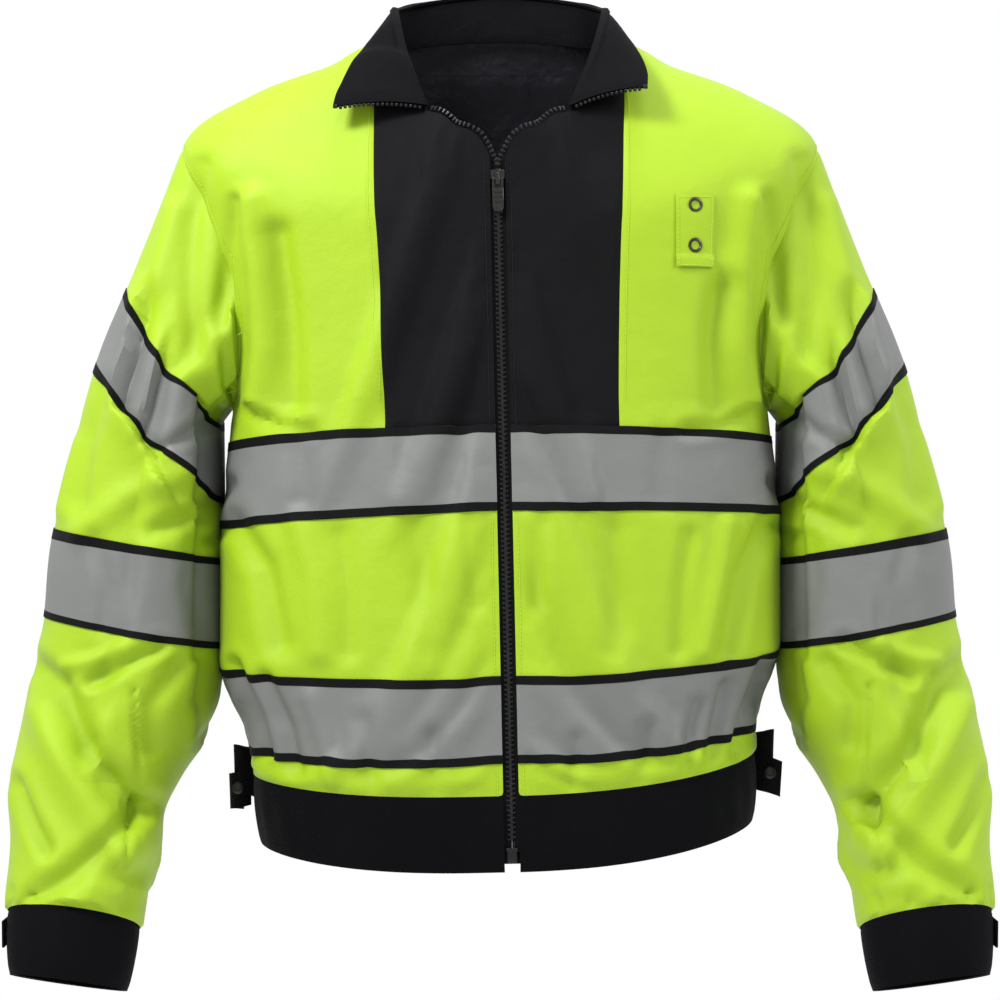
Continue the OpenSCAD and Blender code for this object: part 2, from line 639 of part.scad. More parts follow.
front_lower_left();
front_lower_right();
front_upper_left();
front_upper_right();
chest_panel_left();
chest_panel_right();
back_upper();
back_lower();
body_lining();
upper_tape_front_left();
upper_tape_front_right();
upper_tape_back();
lower_tape_front_left();
lower_tape_front_right();
lower_tape_back();
body_trims();
waistband_front_left();
waistband_front_right();
waistband_back();
collar_stand();
collar_leaf_back();
collar_leaf_left();
collar_leaf_right();
leaf_teeth_left();
leaf_teeth_right();
zip_tape_left();
zip_tape_right();
zip_teeth_left();
zip_teeth_right();
zip_retainer_box();
zip_insertion_pin();
zip_slider_body();
zip_pull_tab();
badge_tab();
badge_eyelets();
sleeve_cap_left();
sleeve_cap_right();
sleeve_upper_left();
sleeve_upper_right();
sleeve_upper_tape_left();
sleeve_upper_tape_right();
sleeve_lower_tape_left();
sleeve_lower_tape_right();
sleeve_trims_left();
sleeve_trims_right();
elbow_section_left();
elbow_section_right();
forearm_left();
forearm_right();
forearm_lining_left();
forearm_lining_right();
cuff_left();
cuff_right();
cuff_tab_left();
cuff_tab_right();
waist_tab_left();
waist_tab_right();
waist_tab_snap_left();
waist_tab_snap_right();
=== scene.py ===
from math import acos, asin, atan, cos, degrees, pi, radians, sin, sqrt

import bmesh
import bpy
import numpy as np
from mathutils import Matrix, Vector
from mathutils.bvhtree import BVHTree


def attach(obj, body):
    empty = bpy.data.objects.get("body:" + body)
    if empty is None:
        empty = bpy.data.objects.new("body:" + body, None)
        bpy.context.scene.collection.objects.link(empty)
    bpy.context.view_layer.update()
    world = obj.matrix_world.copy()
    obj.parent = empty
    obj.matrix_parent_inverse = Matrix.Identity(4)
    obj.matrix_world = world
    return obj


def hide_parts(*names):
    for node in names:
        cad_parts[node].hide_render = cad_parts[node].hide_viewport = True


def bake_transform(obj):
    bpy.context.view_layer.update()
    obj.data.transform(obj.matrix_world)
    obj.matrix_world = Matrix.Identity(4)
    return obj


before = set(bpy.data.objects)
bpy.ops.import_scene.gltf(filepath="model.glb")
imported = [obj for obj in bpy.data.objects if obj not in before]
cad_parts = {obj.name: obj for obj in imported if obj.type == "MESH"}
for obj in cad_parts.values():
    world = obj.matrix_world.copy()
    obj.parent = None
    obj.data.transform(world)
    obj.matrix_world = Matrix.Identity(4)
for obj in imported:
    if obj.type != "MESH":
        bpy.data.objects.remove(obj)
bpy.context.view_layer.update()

# Lengths below are millimetres in the frame's own axes; MM turns them into Blender's metres.
MM = 0.001

# ---------------------------------------------------------------- camera and stage
CAMERA_BACK = 2000
CAMERA_LEVEL = -374
VIEW_WIDTH = 784


def make_camera():
    data = bpy.data.cameras.new("camera")
    data.sensor_width = 36
    data.lens = 36 * CAMERA_BACK / VIEW_WIDTH
    data.clip_end = 50
    camera = bpy.data.objects.new("camera", data)
    camera.location = (0, -CAMERA_BACK * MM, CAMERA_LEVEL * MM)
    camera.rotation_euler = (pi / 2, 0, 0)
    bpy.context.collection.objects.link(camera)
    bpy.context.scene.camera = camera


make_camera()

# ---------------------------------------------------------------- driving dimensions
# Half widths at the chest and hem, the back's depth, and how square the body's section is
CHEST, HEM, BACK = 212, 191, 130
SQUARE = 2.5
# Heights: armpit, waist seam, hem, and the middles of the two tape bands
ARMPIT = -300
WAIST, HEM_Z = -576, -628
UPPER_BAND, LOWER_BAND = -350, -534
TAPE_W, TRIM_W = 50.8, 6.4
# The chest panel's width at the armpit, and the gap between the two fronts
PANEL_W = 88
FRONT_GAP = 11.4
ZIP_TOP = np.array([-2.0, -116.0, -127.0])
ZIP_BOTTOM = np.array([9.0, -150.0, -634.0])
# Where the collar's leaf starts: its angle from the front and its height
COLLAR_U, COLLAR_Z = 38, -84

# The body below the armpit, by height: half width, back depth, sway of the back, tilt
HALF_W = [(-650, HEM), (-575, HEM + 4), (-530, CHEST - 10), (-495, CHEST + 8), (-400, CHEST + 8),
          (ARMPIT, CHEST - 2)]
BACK_Y = [(-650, BACK - 10), (-590, BACK - 6), (-540, BACK), (-400, BACK + 4), (ARMPIT, BACK)]
SWAY = [(-650, 6), (-575, 3), (-520, 0)]
TILT = [(-650, 9), (-560, 9), (-350, 5), (ARMPIT, 0)]
# The neck's open front edge: height at a distance from the middle
NOTCH = [(0, -127), (5, -121), (9, -112), (14, -104), (21, -100), (31, -97), (38, -90), (44, -86), (54, -84)]
# Rings above the armpit: half width, back depth, height at front, side and back
RINGS = np.array([
    [CHEST - 2, BACK, ARMPIT, ARMPIT, ARMPIT],
    [CHEST + 8, BACK - 4, -240, -238, -238],
    [CHEST + 24, BACK - 12, -198, -168, -170],
    [248, BACK - 24, -168, -96, -108],
    [192, 96, -154, -56, -66],
    [130, 80, -141, -33, -32],
    [80, 62, ZIP_TOP[2], -12, 0]], float)
# The ring at the neck, the ring at the shoulder's tip, and how far round the armhole reaches
NECK = 6
TIP = 3
ARM_FRONT, ARM_BACK = 28, 25
# Sleeve rings: outer x, z, inner x, z, centre y, half depth, forward tilt
SLEEVE = np.array([
    [292, -206, 219, -313, 0, 72, 0], [318, -271, 218, -375, 0, 76, 0],
    [349, -393, 217, -417, -4, 76, 0], [356, -461, 217, -487, -8, 75, 0],
    [362, -494, 218, -512, -10, 74, 2], [369, -528, 225, -542, -16, 72, 8],
    [374, -565, 250, -574, -30, 66, 18], [377, -602, 266, -608, -48, 59, 24],
    [373, -638, 263, -645, -63, 56, 24], [374, -680, 267, -691, -78, 52, 24],
    [370, -684, 271, -695, -79, 47, 21], [367, -729, 278, -741, -92, 45, 14]], float)


def table(pairs, x):
    """A value read between the pairs (x, value)."""
    pairs = sorted(pairs)
    return np.interp(x, [p[0] for p in pairs], [p[1] for p in pairs])


def mix(a, b, t):
    return a + (b - a) * t


def curve(rows, t):
    """A smooth curve through rows, at t counted in rows."""
    i = int(min(max(np.floor(t), 0), len(rows) - 2))
    f = t - i
    p0 = rows[i - 1] if i > 0 else 2 * rows[i] - rows[i + 1]
    p3 = rows[i + 2] if i + 2 < len(rows) else 2 * rows[i + 1] - rows[i]
    p1, p2 = rows[i], rows[i + 1]
    return 0.5 * (2 * p1 + (p2 - p0) * f + (2 * p0 - 5 * p1 + 4 * p2 - p3) * f * f
                  + (3 * p1 - p0 - 3 * p2 + p3) * f ** 3)


def zip_part(z):
    """How far down the zip a height is, from 0 to 1."""
    return (ZIP_TOP[2] - z) / (ZIP_TOP[2] - ZIP_BOTTOM[2])


def zip_x(z):
    return mix(ZIP_TOP[0], ZIP_BOTTOM[0], zip_part(z))


def zip_depth(z):
    return -mix(ZIP_TOP[1], ZIP_BOTTOM[1], zip_part(z))


def power(a, p):
    return np.sign(a) * abs(a) ** p


def front_part(u):
    """1 at the middle of the front, 0 from the side back."""
    c = cos(radians(u))
    return c * c if c > 0 else 0.0


def ring_point(u, z, half_w, front, back, shift):
    """The point of a rounded square section at angle u from the front."""
    a = radians(u)
    c = cos(a)
    x = shift * front_part(u) + table(SWAY, z) * (1 - front_part(u)) + half_w * power(sin(a), 2 / SQUARE)
    return np.array([x, (front if c > 0 else back) * power(-c, 2 / SQUARE), z + table(TILT, z) * sin(a)])


def low(u, z):
    """The body below the armpit."""
    return ring_point(u, z, table(HALF_W, z), zip_depth(z), table(BACK_Y, z), zip_x(z))


def eased_z(u, r):
    c = cos(radians(u))
    return mix(r[3], r[2] if c > 0 else r[4], c * c)


def neck_z(u, r):
    if abs(u) < COLLAR_U:
        return float(table(NOTCH, r[0] * abs(sin(radians(u))) ** (2 / SQUARE)))
    c = cos(radians(u))
    return mix(r[3], COLLAR_Z, (c / cos(radians(COLLAR_U))) ** 1.6) if c > 0 else eased_z(u, r)


def ring_at(v):
    return curve(RINGS, v)


def upper(u, v):
    """The body from the armpit to the neck, at v counted in rings."""
    r = ring_at(v)
    z = mix(eased_z(u, r), neck_z(u, RINGS[NECK]), max(0, v - NECK + 1))
    return ring_point(u, z, r[0], zip_depth(r[2]), r[1], zip_x(r[2]))


def u_at(x, half_w):
    """The angle from the front at a distance x from the middle."""
    return degrees(asin(min(1, (x / half_w)) ** (SQUARE / 2)))


def armhole_part(v):
    """How far the armhole is open at ring v, from 0 to 1."""
    return 0.0 if v >= TIP else sqrt(max(0.0, 1 - (2 * v / TIP - 1) ** 2))


def sleeve_point(q, k):
    """The left sleeve at ring k, at angle q from its outer side."""
    r = curve(SLEEVE, k)
    a, tilt = radians(q), radians(r[6])
    return np.array([(r[0] + r[2]) / 2 + (r[0] - r[2]) / 2 * cos(a),
                     r[4] - r[5] * cos(tilt) * sin(a),
                     (r[1] + r[3]) / 2 + (r[1] - r[3]) / 2 * cos(a) + r[5] * sin(tilt) * sin(a)])


def waist_line(u):
    return mix(WAIST, WAIST - 13, front_part(u))


def hem_line(u):
    return mix(HEM_Z, HEM_Z - 16, front_part(u))


def upper_line(offset):
    return lambda u: UPPER_BAND - 7 * (1 - front_part(u)) + offset


def lower_line(offset):
    return lambda u: LOWER_BAND + 8 * (1 - front_part(u)) + offset


# ---------------------------------------------------------------- the coat's grid
# Rows of the body from the waist seam to the armpit: (line below, line above, rows, label)
EDGE = TAPE_W / 2 + TRIM_W
LOW_BANDS = [
    (waist_line, lower_line(-EDGE), 4, "lower"),
    (lower_line(-EDGE), lower_line(-TAPE_W / 2), 1, "low_trim"),
    (lower_line(-TAPE_W / 2), lower_line(TAPE_W / 2), 8, "low_tape"),
    (lower_line(TAPE_W / 2), lower_line(EDGE), 1, "low_trim"),
    (lower_line(EDGE), upper_line(-EDGE), 18, "lower"),
    (upper_line(-EDGE), upper_line(-TAPE_W / 2), 1, "up_trim"),
    (upper_line(-TAPE_W / 2), upper_line(TAPE_W / 2), 8, "up_tape"),
    (upper_line(TAPE_W / 2), upper_line(EDGE), 1, "up_trim"),
    (upper_line(EDGE), lambda u: ARMPIT, 3, "upper")]
ARM_ROWS, SHOULDER_ROWS = 32, 22
PANEL_COLS, FRONT_COLS, BACK_COLS = 13, 26, 76
# Rows of the sleeve: (ring below, ring above, rows, label); ring -1 is the armhole
SLEEVE_BANDS = [(-1, 0, 14, "cap"), (0, 0.09, 1, "arm_trim"), (0.09, 0.91, 8, "arm_tape"),
                (0.91, 1, 1, "arm_trim"), (1, 2, 15, "arm"), (2, 2.09, 1, "arm_trim"),
                (2.09, 2.91, 8, "arm_tape2"), (2.91, 3, 1, "arm_trim"), (3, 7, 20, "elbow"),
                (7, 9, 12, "forearm"), (9, 10, 2, "forearm")]


def panel_edge(v, half_w):
    """The chest panel widens towards the neck, and stops short of the side of a narrow ring."""
    return min(mix(PANEL_W, PANEL_W + 10, v / NECK), 0.93 * half_w)


def body_columns(v, z):
    """Angles of the left front's columns, from the zip to the side or armhole; v is None below the armpit."""
    if v is None:
        half_w, v, end = table(HALF_W, z), 0.0, 90.0
    else:
        half_w, end = ring_at(v)[0], 90 - ARM_FRONT * armhole_part(v)
    xs = np.linspace(FRONT_GAP / 2, panel_edge(v, half_w), PANEL_COLS + 1)
    first = [u_at(x, half_w) for x in xs]
    return first + list(np.linspace(first[-1], end, FRONT_COLS + 1)[1:])


class Grid:
    """Points, quads and a label for each quad, for the whole coat before it is cut into pieces."""

    def __init__(self):
        self.points, self.quads, self.labels = [], [], []
        self.pins = set()

    def add(self, p):
        self.points.append(p)
        return len(self.points) - 1

    def quad(self, a, b, c, d, label):
        self.quads.append((a, b, c, d))
        self.labels.append(label)


def arm_vs():
    t = np.linspace(0, 1, ARM_ROWS + 1)
    return TIP * mix(t, (1 - np.cos(pi * t)) / 2, 0.8)


def build_grid():
    g = Grid()
    rows, labels = [], []
    for a, b, count, label in LOW_BANDS:
        for i in range(count):
            rows.append(body_row(g, None, lambda u: low(u, mix(a(u), b(u), i / count))))
            labels.append(label)
    armpit_row = len(rows)
    vs = list(arm_vs())
    for n, v in enumerate(vs):
        open_hole = 0 < n < len(vs) - 1
        rows.append(body_row(g, v, lambda u: upper(u, v), open_hole))
        labels.append("upper")
    for v in np.linspace(TIP, NECK, SHOULDER_ROWS + 1)[1:]:
        rows.append(body_row(g, v, lambda u: upper(u, v)))
        labels.append("upper")
    tip_row = armpit_row + ARM_ROWS
    g.rows, g.armpit_row, g.tip_row = rows, armpit_row, tip_row
    for j in range(len(rows) - 1):
        for side in (1, -1):
            for part in ("front", "back"):
                a, b = rows[j][side][part], rows[j + 1][side][part]
                for i in range(len(a) - 1):
                    label = labels[j]
                    if label == "upper" and part == "front" and i < PANEL_COLS:
                        label = "panel"
                    name = (label, part, side)
                    corners = (a[i], a[i + 1], b[i + 1], b[i])
                    # Rows run from the zip to the side in front and from the side to the middle behind.
                    g.quad(*(corners if side > 0 else corners[::-1]), name)
    for side in (1, -1):
        add_sleeve(g, side)
    for j, row in enumerate(rows):
        for side in (1, -1):
            g.pins.add(row[side]["front"][0])
            if j in (0, len(rows) - 1):
                g.pins.update(row[side]["front"])
                g.pins.update(row[side]["back"])
    return g


def body_row(g, v, at, open_hole=False):
    """One row of points: fronts from the zip to the side, backs from the side to the middle."""
    row = {1: {}, -1: {}}
    back_end = 90 + (ARM_BACK * armhole_part(v) if v is not None else 0)
    middle = None
    for side in (1, -1):
        z = at(0)[2] if v is None else None
        us = body_columns(v, z)
        front = [g.add(at(side * u)) for u in us]
        backs = np.linspace(back_end, 180, BACK_COLS // 2 + 1)
        first = g.add(at(side * backs[0])) if open_hole else front[-1]
        back = [first] + [g.add(at(side * u)) for u in backs[1:-1]]
        if middle is None:
            middle = g.add(at(180))
        row[side] = {"front": front, "back": back + [middle]}
    return row


def add_sleeve(g, side):
    flip = np.array([side, 1, 1])
    rows = g.rows
    down = list(range(g.tip_row, g.armpit_row - 1, -1))
    up = list(range(g.armpit_row + 1, g.tip_row))
    ring = [rows[j][side]["front"][-1] for j in down] + [rows[j][side]["back"][0] for j in up]
    vs = arm_vs()
    v_of = lambda j: vs[j - g.armpit_row]
    angle = lambda j: degrees(acos(min(1, max(-1, 2 * v_of(j) / TIP - 1))))
    qs = [angle(j) for j in down] + [360 - angle(j) for j in up]
    base = [g.points[i].copy() for i in ring]
    sleeve_rows, labels = [ring], []
    for k0, k1, count, label in SLEEVE_BANDS:
        for i in range(1, count + 1):
            k = mix(k0, k1, i / count)
            if k <= 0:
                t = 1 + k
                pts = [mix(b, sleeve_point(q, 0) * flip, t) for b, q in zip(base, qs)]
            else:
                pts = [sleeve_point(q, k) * flip for q in qs]
            sleeve_rows.append([g.add(p) for p in pts])
            labels.append(label)
    n = len(ring)
    for j, label in enumerate(labels):
        a, b = sleeve_rows[j], sleeve_rows[j + 1]
        for i in range(n):
            corners = (a[i], a[(i + 1) % n], b[(i + 1) % n], b[i])
            g.quad(*(corners if side > 0 else corners[::-1]), (label, "sleeve", side))
    g.pins.update(sleeve_rows[-1])


# ---------------------------------------------------------------- folds and cloth
def crease(points, line, depth, width):
    """How far a valley along a line of points pushes the cloth in, with a ridge on each side."""
    line = [np.array(p, float) for p in line]
    near = np.full(len(points), 1e9)
    for a, b in zip(line, line[1:]):
        ab = b - a
        t = np.clip(((points - a) @ ab) / (ab @ ab), 0, 1)
        near = np.minimum(near, np.linalg.norm(points - (a + t[:, None] * ab), axis=1))
    x = near / width
    return -depth * (1 - 1.1 * x * x) * np.exp(-x * x)


# Folds seen from the front and from the back: points (x, z) along the fold, depth, width.
# A negative depth makes a ridge. The sleeve's folds are on both sides, mirrored.
SLEEVE_FOLDS = [
    ([(-199, -150), (-206, -190), (-212, -240)], 4, 8),
    ([(-226, -120), (-234, -165), (-236, -215), (-230, -262)], 3.5, 11),
    ([(-250, -150), (-262, -205)], -4, 12),
    ([(-300, -292), (-318, -330), (-322, -372)], 5, 14),
    ([(-330, -330), (-338, -380)], -3, 12),
    ([(-214, -306), (-236, -322), (-258, -330)], 4, 8),
    ([(-207, -362), (-228, -384), (-262, -398)], 5, 10),
    ([(-240, -352), (-282, -372), (-318, -398)], -4, 14),
    ([(-210, -396), (-222, -404)], 3, 7),
    ([(-306, -404), (-296, -440), (-300, -470)], 2.5, 9),
    ([(-232, -404), (-236, -440), (-228, -476)], 2.5, 9),
    ([(-352, -504), (-331, -515), (-307, -562), (-269, -606)], 9, 14),
    ([(-350, -536), (-318, -584), (-280, -640)], -6, 15),
    ([(-269, -606), (-292, -628), (-317, -650), (-345, -668)], 7, 11),
    ([(-274, -515), (-272, -549), (-271, -599), (-282, -648)], 2.4, 3),
    ([(-364, -588), (-350, -612), (-336, -632)], 6, 9),
    ([(-308, -511), (-285, -499), (-256, -484)], 6, 8),
    ([(-244, -500), (-262, -528), (-262, -560)], 4, 10),
    ([(-330, -500), (-306, -494), (-284, -484)], -3, 7),
    ([(-300, -660), (-262, -668)], -3, 9),
    ([(-276, -668), (-282, -694)], 3, 5),
    ([(-300, -674), (-304, -694)], 2.5, 5),
    ([(-324, -672), (-326, -694)], 3, 5),
    ([(-348, -668), (-346, -694)], 3, 5),
    ([(-363, -664), (-360, -690)], 2.5, 5)]
BODY_FOLDS = [
    ([(-186, -150), (-180, -205), (-178, -262), (-184, -300)], -5, 14),
    ([(-166, -176), (-157, -240), (-156, -300)], 4, 14),
    ([(-190, -306), (-168, -318), (-140, -322)], 3, 8),
    ([(-200, -392), (-176, -425), (-164, -480)], 4, 13),
    ([(-150, -392), (-138, -430), (-134, -486)], -3, 13),
    ([(-118, -400), (-112, -440), (-112, -484)], 2.2, 11),
    ([(-64, -395), (-54, -440), (-52, -482)], 2, 14),
    ([(-24, -390), (-18, -450)], 1.6, 9),
    ([(-150, -330), (-146, -372)], 2, 12),
    ([(-84, -326), (-80, -370)], -1.6, 14),
    ([(-202, -500), (-184, -536), (-176, -566)], 5, 9),
    ([(-176, -508), (-158, -545), (-152, -574)], 3.5, 9),
    ([(-140, -520), (-128, -552), (-124, -580)], -2.5, 10),
    ([(-100, -536), (-94, -584)], 2.5, 10),
    ([(-50, -546), (-46, -590)], 2, 10),
    ([(188, -150), (180, -205), (180, -262), (188, -300)], -5, 14),
    ([(167, -214), (160, -250), (162, -302)], 4, 13),
    ([(192, -306), (168, -318), (138, -322)], 3, 8),
    ([(200, -392), (182, -430), (170, -486)], 4, 11),
    ([(170, -392), (160, -440), (150, -486)], -2.5, 10),
    ([(140, -400), (134, -440), (132, -484)], 2.4, 9),
    ([(84, -395), (88, -440), (84, -482)], 2, 14),
    ([(30, -390), (26, -450)], 1.6, 9),
    ([(120, -328), (118, -372)], 2, 12),
    ([(64, -326), (66, -370)], -1.6, 14),
    ([(200, -500), (184, -538), (178, -566)], 5, 9),
    ([(168, -512), (160, -545), (156, -576)], 3.5, 8),
    ([(146, -524), (140, -552), (138, -580)], 2.5, 7),
    ([(108, -540), (104, -584)], 2.5, 9),
    ([(56, -548), (52, -590)], 2, 9),
    ([(20, -560), (34, -574), (62, -586)], 2, 6)]
# Overlapping folds: points (x, z), how far the near side stands up and its width, the far side's
# dip and width, and how far down the far side slips. From the front the near side lies to the right
# of the line as written.
STEP_FOLDS = [
    ([(-266, -200), (-274, -226), (-280, -256), (-288, -284), (-293, -306)], 7, 12, 6, 9, 11),
    ([(-252, -236), (-258, -262), (-264, -284), (-271, -312), (-276, -336)], 5, 10, 5, 8, 7),
    ([(-298, -284), (-286, -305), (-269, -327), (-254, -356), (-241, -384)], 6, 16, 5, 9, 3),
    ([(-212, -256), (-211, -288), (-203, -306)], 2.5, 8, 3, 6, 0)]
BACK_FOLDS = [
    ([(-176, -130), (-160, -200), (-166, -290)], 5, 16),
    ([(176, -130), (162, -200), (168, -290)], 5, 16),
    ([(-120, -110), (-96, -220), (-104, -320)], -4, 22),
    ([(118, -110), (100, -220), (108, -320)], -4, 22),
    ([(-40, -150), (-30, -300), (-44, -470)], 4, 24),
    ([(52, -180), (44, -320), (58, -500)], 4, 22),
    ([(-150, -380), (-120, -460), (-128, -560)], 5, 16),
    ([(150, -390), (126, -470), (130, -560)], 5, 16),
    ([(-80, -500), (-76, -576)], 4, 11),
    ([(-20, -490), (-16, -576)], 4, 11),
    ([(30, -500), (26, -576)], 3, 11),
    ([(88, -500), (84, -576)], 4, 11)]
# The sleeves' folds behind, on both sides
BACK_FOLDS += [([(side * x, z) for x, z in line], depth, 12)
               for line, depth in (([(230, -250), (262, -300), (300, -320)], 5),
                                   ([(232, -540), (280, -556), (340, -548)], 5),
                                   ([(270, -600), (310, -650)], 4))
               for side in (-1, 1)]

# How sharply an overlapping fold steps, how far its slip reaches, and how much of its length
# each end fades over
STEP_EDGE, SLIP_REACH, STEP_ENDS = 1.8, 32, 0.22
# The body's folds are deeper than their table says, and the left sleeve's lie this far from the
# right's mirror.
BODY_DEPTH = 1.5
MIRROR_SHIFT = (2, 3)


def step_fold(flat, line, lift, lift_w, dip, dip_w, slip, side):
    """A fold that overlaps itself: how far out it moves each point, and how far down the far side slips."""
    line = np.array([(side * x, 0.0, z) for x, z in line])
    near = np.full(len(flat), 1e9)
    sign = np.ones(len(flat))
    part = np.zeros(len(flat))
    for i, (a, b) in enumerate(zip(line, line[1:])):
        ab = b - a
        t = np.clip(((flat - a) @ ab) / (ab @ ab), 0, 1)
        off = flat - (a + t[:, None] * ab)
        d = np.linalg.norm(off, axis=1)
        closer = d < near
        near = np.where(closer, d, near)
        turn = ab[0] * (flat[:, 2] - a[2]) - ab[2] * (flat[:, 0] - a[0])
        sign = np.where(closer, np.sign(turn) * -side, sign)
        part = np.where(closer, (i + t) / (len(line) - 1), part)
    fade = np.clip(part / STEP_ENDS, 0, 1) * np.clip((1 - part) / STEP_ENDS, 0, 1)
    up = lift * np.exp(-(near / lift_w) ** 2)
    down = -dip * np.exp(-(near / dip_w) ** 2)
    over = 0.5 + 0.5 * np.tanh(sign * near / STEP_EDGE)
    return fade * mix(down, up, over), fade * slip * (1 - over) * np.exp(-(near / SLIP_REACH) ** 2)


def folds(points, normals):
    """How far the folds move each point, mostly along its normal."""
    out = np.zeros(len(points))
    fall = np.zeros(len(points))
    flat = points * np.array([1, 0, 1])
    for facing in (-1, 1):
        # A fold fades out where the cloth turns away to the other side.
        shown = np.clip((facing * normals[:, 1] + 0.05) / 0.4, 0, 1)
        front = ((BODY_FOLDS, 1, BODY_DEPTH), (SLEEVE_FOLDS, 1, 1), (SLEEVE_FOLDS, -1, 1))
        for lines, side, scale in (front if facing < 0 else ((BACK_FOLDS, 1, 1),)):
            dx, dz = MIRROR_SHIFT if side < 0 else (0, 0)
            for line, depth, width in lines:
                line = [(side * x + dx, 0, z + dz) for x, z in line]
                out += shown * crease(flat, line, depth * scale, width)
        if facing < 0:
            for side in (1, -1):
                for line, *shape in STEP_FOLDS:
                    move, slip = step_fold(flat, line, *shape, side)
                    out += shown * move
                    fall += shown * slip
    return normals * out[:, None] - np.outer(fall, (0, 0, 1))


def vertex_normals(points, quads):
    q = np.array(quads)
    n = np.cross(points[q[:, 2]] - points[q[:, 0]], points[q[:, 3]] - points[q[:, 1]])
    out = np.zeros_like(points)
    for k in range(4):
        np.add.at(out, q[:, k], n)
    return out / np.maximum(np.linalg.norm(out, axis=1), 1e-12)[:, None]


def mesh_from(name, points, quads, scale=MM):
    mesh = bpy.data.meshes.new(name)
    points = [tuple(p) for p in np.asarray(points) * scale]
    mesh.from_pydata(points, [], [tuple(int(i) for i in q) for q in quads])
    mesh.update()
    return mesh


def link(name, mesh):
    obj = bpy.data.objects.new(name, mesh)
    bpy.context.collection.objects.link(obj)
    return obj


def read_points(mesh):
    out = np.empty(len(mesh.vertices) * 3)
    mesh.vertices.foreach_get("co", out)
    return out.reshape(-1, 3)


# Long enough for the cloth to settle into soft waves
CLOTH_FRAMES = 24
# The most that the simulation may move the cloth: out, in, along the surface, and out where it lies
# between sleeve and body, at GAP_X from the middle
MOVE_OUT, MOVE_IN, MOVE_ALONG, MOVE_IN_GAP = 9, 1.8, 2, 1.5
GAP_X = (196, 236)
# The puff before the simulation, the rows over which movement fades in, and the depth of the
# pressed seams
PUFF, FADE_ROWS, SEAM_DEPTH = 2.5, 4, 0.9


def drape(points, g):
    """Cloth simulation of the whole shell, held along the zip, neck, waist and cuffs."""
    mesh = mesh_from("drape", points, g.quads)
    obj = link("drape", mesh)
    group = obj.vertex_groups.new(name="held")
    group.add([int(i) for i in g.pins], 1.0, "REPLACE")
    cloth = obj.modifiers.new("cloth", "CLOTH")
    s = cloth.settings
    s.quality = 6
    s.mass = 0.15
    s.tension_stiffness = 12
    s.compression_stiffness = 8
    s.shear_stiffness = 4
    s.bending_stiffness = 0.25
    s.tension_damping = s.compression_damping = 8
    s.air_damping = 2
    s.vertex_group_mass = "held"
    s.shrink_min = -0.025
    s.use_pressure = True
    s.uniform_pressure_force = 2.2
    s.effector_weights.gravity = 0.35
    cloth.collision_settings.use_collision = False
    cloth.point_cache.frame_start = 1
    cloth.point_cache.frame_end = CLOTH_FRAMES
    scene = bpy.context.scene
    for f in range(1, CLOTH_FRAMES + 1):
        scene.frame_set(f)
    graph = bpy.context.evaluated_depsgraph_get()
    done = read_points(obj.evaluated_get(graph).to_mesh()) / MM
    scene.frame_set(1)
    bpy.data.objects.remove(obj)
    bpy.data.meshes.remove(mesh)
    return done


def limit_move(start, moved, normals):
    """Keeps the draped cloth near the frame's surface, and off its neighbours."""
    move = moved - start
    along = (move * normals).sum(1)
    x = abs(start[:, 0])
    in_gap = (x > GAP_X[0]) & (x < GAP_X[1]) & (start[:, 2] < ARMPIT + 20) & (abs(normals[:, 0]) > 0.5)
    out = np.where(in_gap, MOVE_IN_GAP, MOVE_OUT)
    slide = move - along[:, None] * normals
    size = np.linalg.norm(slide, axis=1)
    slide = slide * np.minimum(1, MOVE_ALONG / np.maximum(size, 1e-9))[:, None]
    soft = np.where(along > 0, out * np.tanh(along / out), MOVE_IN * np.tanh(along / MOVE_IN))
    return start + slide + soft[:, None] * normals


def subdivided(points, quads, labels, levels):
    """Catmull-Clark subdivision of the grid; labels travel as material indices."""
    mesh = mesh_from("fine", points, quads, 1.0)
    mesh.polygons.foreach_set("material_index", np.array(labels, dtype=np.int32))
    obj = link("fine", mesh)
    for _ in range(max(labels) + 1):
        mesh.materials.append(None)
    mod = obj.modifiers.new("fine", "SUBSURF")
    mod.levels = mod.render_levels = levels
    mod.use_limit_surface = False
    graph = bpy.context.evaluated_depsgraph_get()
    fine = obj.evaluated_get(graph).to_mesh()
    pts = read_points(fine)
    q = np.empty(len(fine.polygons) * 4, dtype=np.int64)
    fine.polygons.foreach_get("vertices", q)
    lab = np.empty(len(fine.polygons), dtype=np.int32)
    fine.polygons.foreach_get("material_index", lab)
    bpy.data.objects.remove(obj)
    bpy.data.meshes.remove(mesh)
    return pts, q.reshape(-1, 4), lab


class Shell:
    """The finished cloth surface: fine points, normals and labelled quads, cut into pieces on demand."""

    def __init__(self, g, points, levels):
        names = sorted(set(g.labels))
        index = {n: i for i, n in enumerate(names)}
        self.names = names
        self.points, self.quads, self.labels = subdivided(
            points, g.quads, [index[n] for n in g.labels], levels)
        self.settle()

    def settle(self):
        """Works the normals and the search tree out again after the points have moved."""
        self.normals = vertex_normals(self.points, self.quads)
        self.tree = BVHTree.FromPolygons([Vector(p) for p in self.points],
                                         [tuple(int(i) for i in q) for q in self.quads])

    def pick(self, chosen):
        wanted = [i for i, n in enumerate(self.names) if chosen(*n)]
        return self.quads[np.isin(self.labels, wanted)]

    def near(self, p):
        spot, normal, _, _ = self.tree.find_nearest(Vector(p))
        return np.array(spot), np.array(normal)


def rim_edges(quads):
    """The edges that only one quad has, in the order of the quads."""
    edges = {}
    for quad in quads.tolist():
        for a, b in zip(quad, quad[1:] + quad[:1]):
            if (b, a) in edges:
                del edges[(b, a)]
            else:
                edges[(a, b)] = True
    return edges


